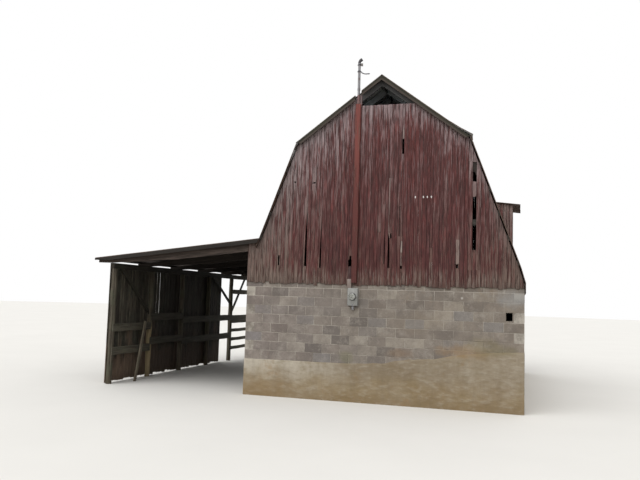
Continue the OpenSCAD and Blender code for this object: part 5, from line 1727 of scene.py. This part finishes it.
def meter_glass():
    """The ring with its seal, the face with four small dials over a slot, and the dome."""
    glass, x, z, out = Parts(), METER_X, METER_HEAD - 0.186, METER_OUT
    face = facing_front(x, out - METER_SEAT, z)
    # The ring is in the darker fittings' metal as painted shade, standing for the shadow round the dome
    glass.turned([(0.071, 0), (0.083, 0), (0.083, 0.013), (0.081, 0.0165), (0.078, 0.018),
                  (0.073, 0.018), (0.071, 0.0165), (0.071, 0)], FITTINGS, face, 64)
    glass.box((x + 0.076, out - 0.019, z - 0.012), (x + 0.09, out - 0.002, z + 0.012), GALVANISED)
    bolt(glass, facing_front(x + 0.083, out - 0.019, z), 0.005)
    glass.turned([(0, 0.004), (0.069, 0.004), (0.069, 0.008), (0, 0.008)], DARK_METAL, face, 48)
    glass.turned([(0, 0.022), (0.0665, 0.022), (0.0665, 0.026), (0.065, 0.0268), (0, 0.0268)], DIAL,
                 face, 48)
    glass.turned([(0.03, 0.008), (0.05, 0.008), (0.05, 0.022), (0.03, 0.022), (0.03, 0.008)],
                 DARK_METAL, face, 32)
    for i, angle in enumerate((35, -70, 100, -20)):
        small_dial(glass, face @ Matrix.Translation(((i - 1.5) * 0.023, 0.016, 0)), angle)
    glass.box((x - 0.026, out - 0.0283, z - 0.03), (x + 0.026, out - 0.0269, z - 0.021), INK, 0.0)
    glass.box((x - 0.023, out - 0.0293, z - 0.0265), (x + 0.023, out - 0.0281, z - 0.0245),
              GALVANISED, 0.0)
    dome = [(0.0705, 0.002), (0.0705, 0.055), (0.068, 0.064), (0.062, 0.0705), (0.05, 0.0742),
            (0.03, 0.0748), (0, 0.075), (0, 0.0722), (0.03, 0.072), (0.048, 0.0715), (0.06, 0.068),
            (0.0655, 0.0625), (0.0678, 0.054), (0.0678, 0.002), (0.0705, 0.002)]
    glass.turned(dome, WINDOW, face, 64)
    piece(glass.done("meter_glass_dressed"), "meter_glass", "meter_glass")


def meter_conduits():
    """The pipe's end under the meter, and the pressed cover above it."""
    pipes, radius, low_foot = Parts(), 0.025, METER_FOOT - METER_SEAT - 0.085
    low_place = Matrix.Translation((METER_X, FRONT - 0.055, 0))
    pipes.turned([(0, low_foot), (radius - 0.004, low_foot), (radius - 0.004, low_foot + 0.004),
                  (radius - 0.002, low_foot + 0.0015), (radius, low_foot + 0.003),
                  (radius, METER_FOOT - 0.014), (0, METER_FOOT - 0.014)], GALVANISED, low_place)
    pipes.turned([(radius, low_foot + 0.03), (radius + 0.003, low_foot + 0.031),
                  (radius + 0.003, low_foot + 0.06), (radius, low_foot + 0.061)], GALVANISED, low_place)
    right = MAST_X - 0.0575 - 0.0006
    left, foot, top = right - 0.082, METER_HEAD + METER_SEAT, METER_HEAD + METER_SEAT + 0.197
    wall = FRONT - SIDING_T - METER_SEAT
    face = wall - 0.05
    pipes.box((left, face + 0.001, foot), (right, wall, top), COVER_GREY, 0.006)
    pipes.box((left + 0.012, face, foot + 0.014), (right - 0.012, face + 0.004, top - 0.014),
              COVER_GREY, 0.0015)
    pipes.box((left - 0.02, wall - 0.0025, foot), (left + 0.003, wall, top), COVER_GREY, 0.0008)
    for z in (foot + 0.03, top - 0.03):
        bolt(pipes, facing_front((left + right) / 2, face, z), 0.006)
        bolt(pipes, facing_front(left - 0.01, wall - 0.0025, z), 0.004)
    piece(pipes.done("meter_conduits_dressed"), "galvanised", "meter_conduits")


meter_box()
meter_glass()
meter_conduits()


# Floor, light and camera

SKY_STRENGTH, SEEN_STRENGTH = 0.9, 1.0


def pale_floor():
    """A floor that is seen pale, but throws a ground's darker light on the barn."""
    net = Finish("pale_floor", Roughness=0.95)
    seen = net.node("ShaderNodeLightPath").outputs
    visible = net.sum("MAXIMUM", seen["Is Camera Ray"], seen["Is Glossy Ray"])
    pale = net.mix(net.noise(net.place, 0.4, 3.0), "dedcd7", "e6e4df")
    net.put(net.shader.inputs["Base Color"], net.mix(visible, "716c62", pale))
    bm = bmesh.new()
    bmesh.ops.create_circle(bm, cap_ends=True, radius=120, segments=96)
    floor = show(mesh_of(bm, "floor", net.material))
    floor.location.z = -0.001


def studio_light():
    """An even sky that is seen white, and a wide soft lamp in front, to the upper left."""
    world = bpy.data.worlds.new("studio")
    bpy.context.scene.world = world
    world.use_nodes = True
    net = Net(world.node_tree)
    background = world.node_tree.nodes["Background"]
    seen = net.node("ShaderNodeLightPath").outputs
    shown = net.sum("MAXIMUM", seen["Is Camera Ray"],
                    net.sum("MAXIMUM", seen["Is Glossy Ray"], seen["Is Transmission Ray"]))
    net.put(background.inputs["Color"], (1, 1, 1, 1))
    net.put(background.inputs["Strength"],
            net.ramp(shown, 0.0, 1.0, SKY_STRENGTH, SEEN_STRENGTH, "LINEAR"))

    lamp = bpy.data.lights.new("soft_lamp", "SUN")
    lamp.energy, lamp.angle = 1.2, math.radians(50)
    made = show(lamp, "soft_lamp")
    made.rotation_euler = Vector((-0.35, -0.75, 1.0)).to_track_quat("Z", "Y").to_euler()


CAMERA_PLACE = (2.9391, -14.5204, 2.2217)
CAMERA_TURN = (-16.522, 4.907, 1.764)  # yaw, pitch and roll in degrees
CAMERA_LENS = 37.97


def camera():
    """The photograph's own camera."""
    yaw, pitch, roll = (math.radians(a) for a in CAMERA_TURN)
    level = Vector((math.cos(yaw), -math.sin(yaw), 0))
    ahead = Vector((math.sin(yaw) * math.cos(pitch), math.cos(yaw) * math.cos(pitch), math.sin(pitch)))
    above = level.cross(ahead)
    right = level * math.cos(roll) + above * math.sin(roll)
    up = -level * math.sin(roll) + above * math.cos(roll)
    data = bpy.data.cameras.new("camera")
    data.sensor_width, data.lens = 36, CAMERA_LENS
    data.clip_start, data.clip_end = 0.1, 400
    made = show(data, "camera")
    made.matrix_world = Matrix.Translation(CAMERA_PLACE) @ Matrix(
        (right, up, -ahead)).transposed().to_4x4()
    bpy.context.scene.camera = made


pale_floor()
studio_light()
camera()
bpy.context.scene.view_settings.view_transform = "Standard"
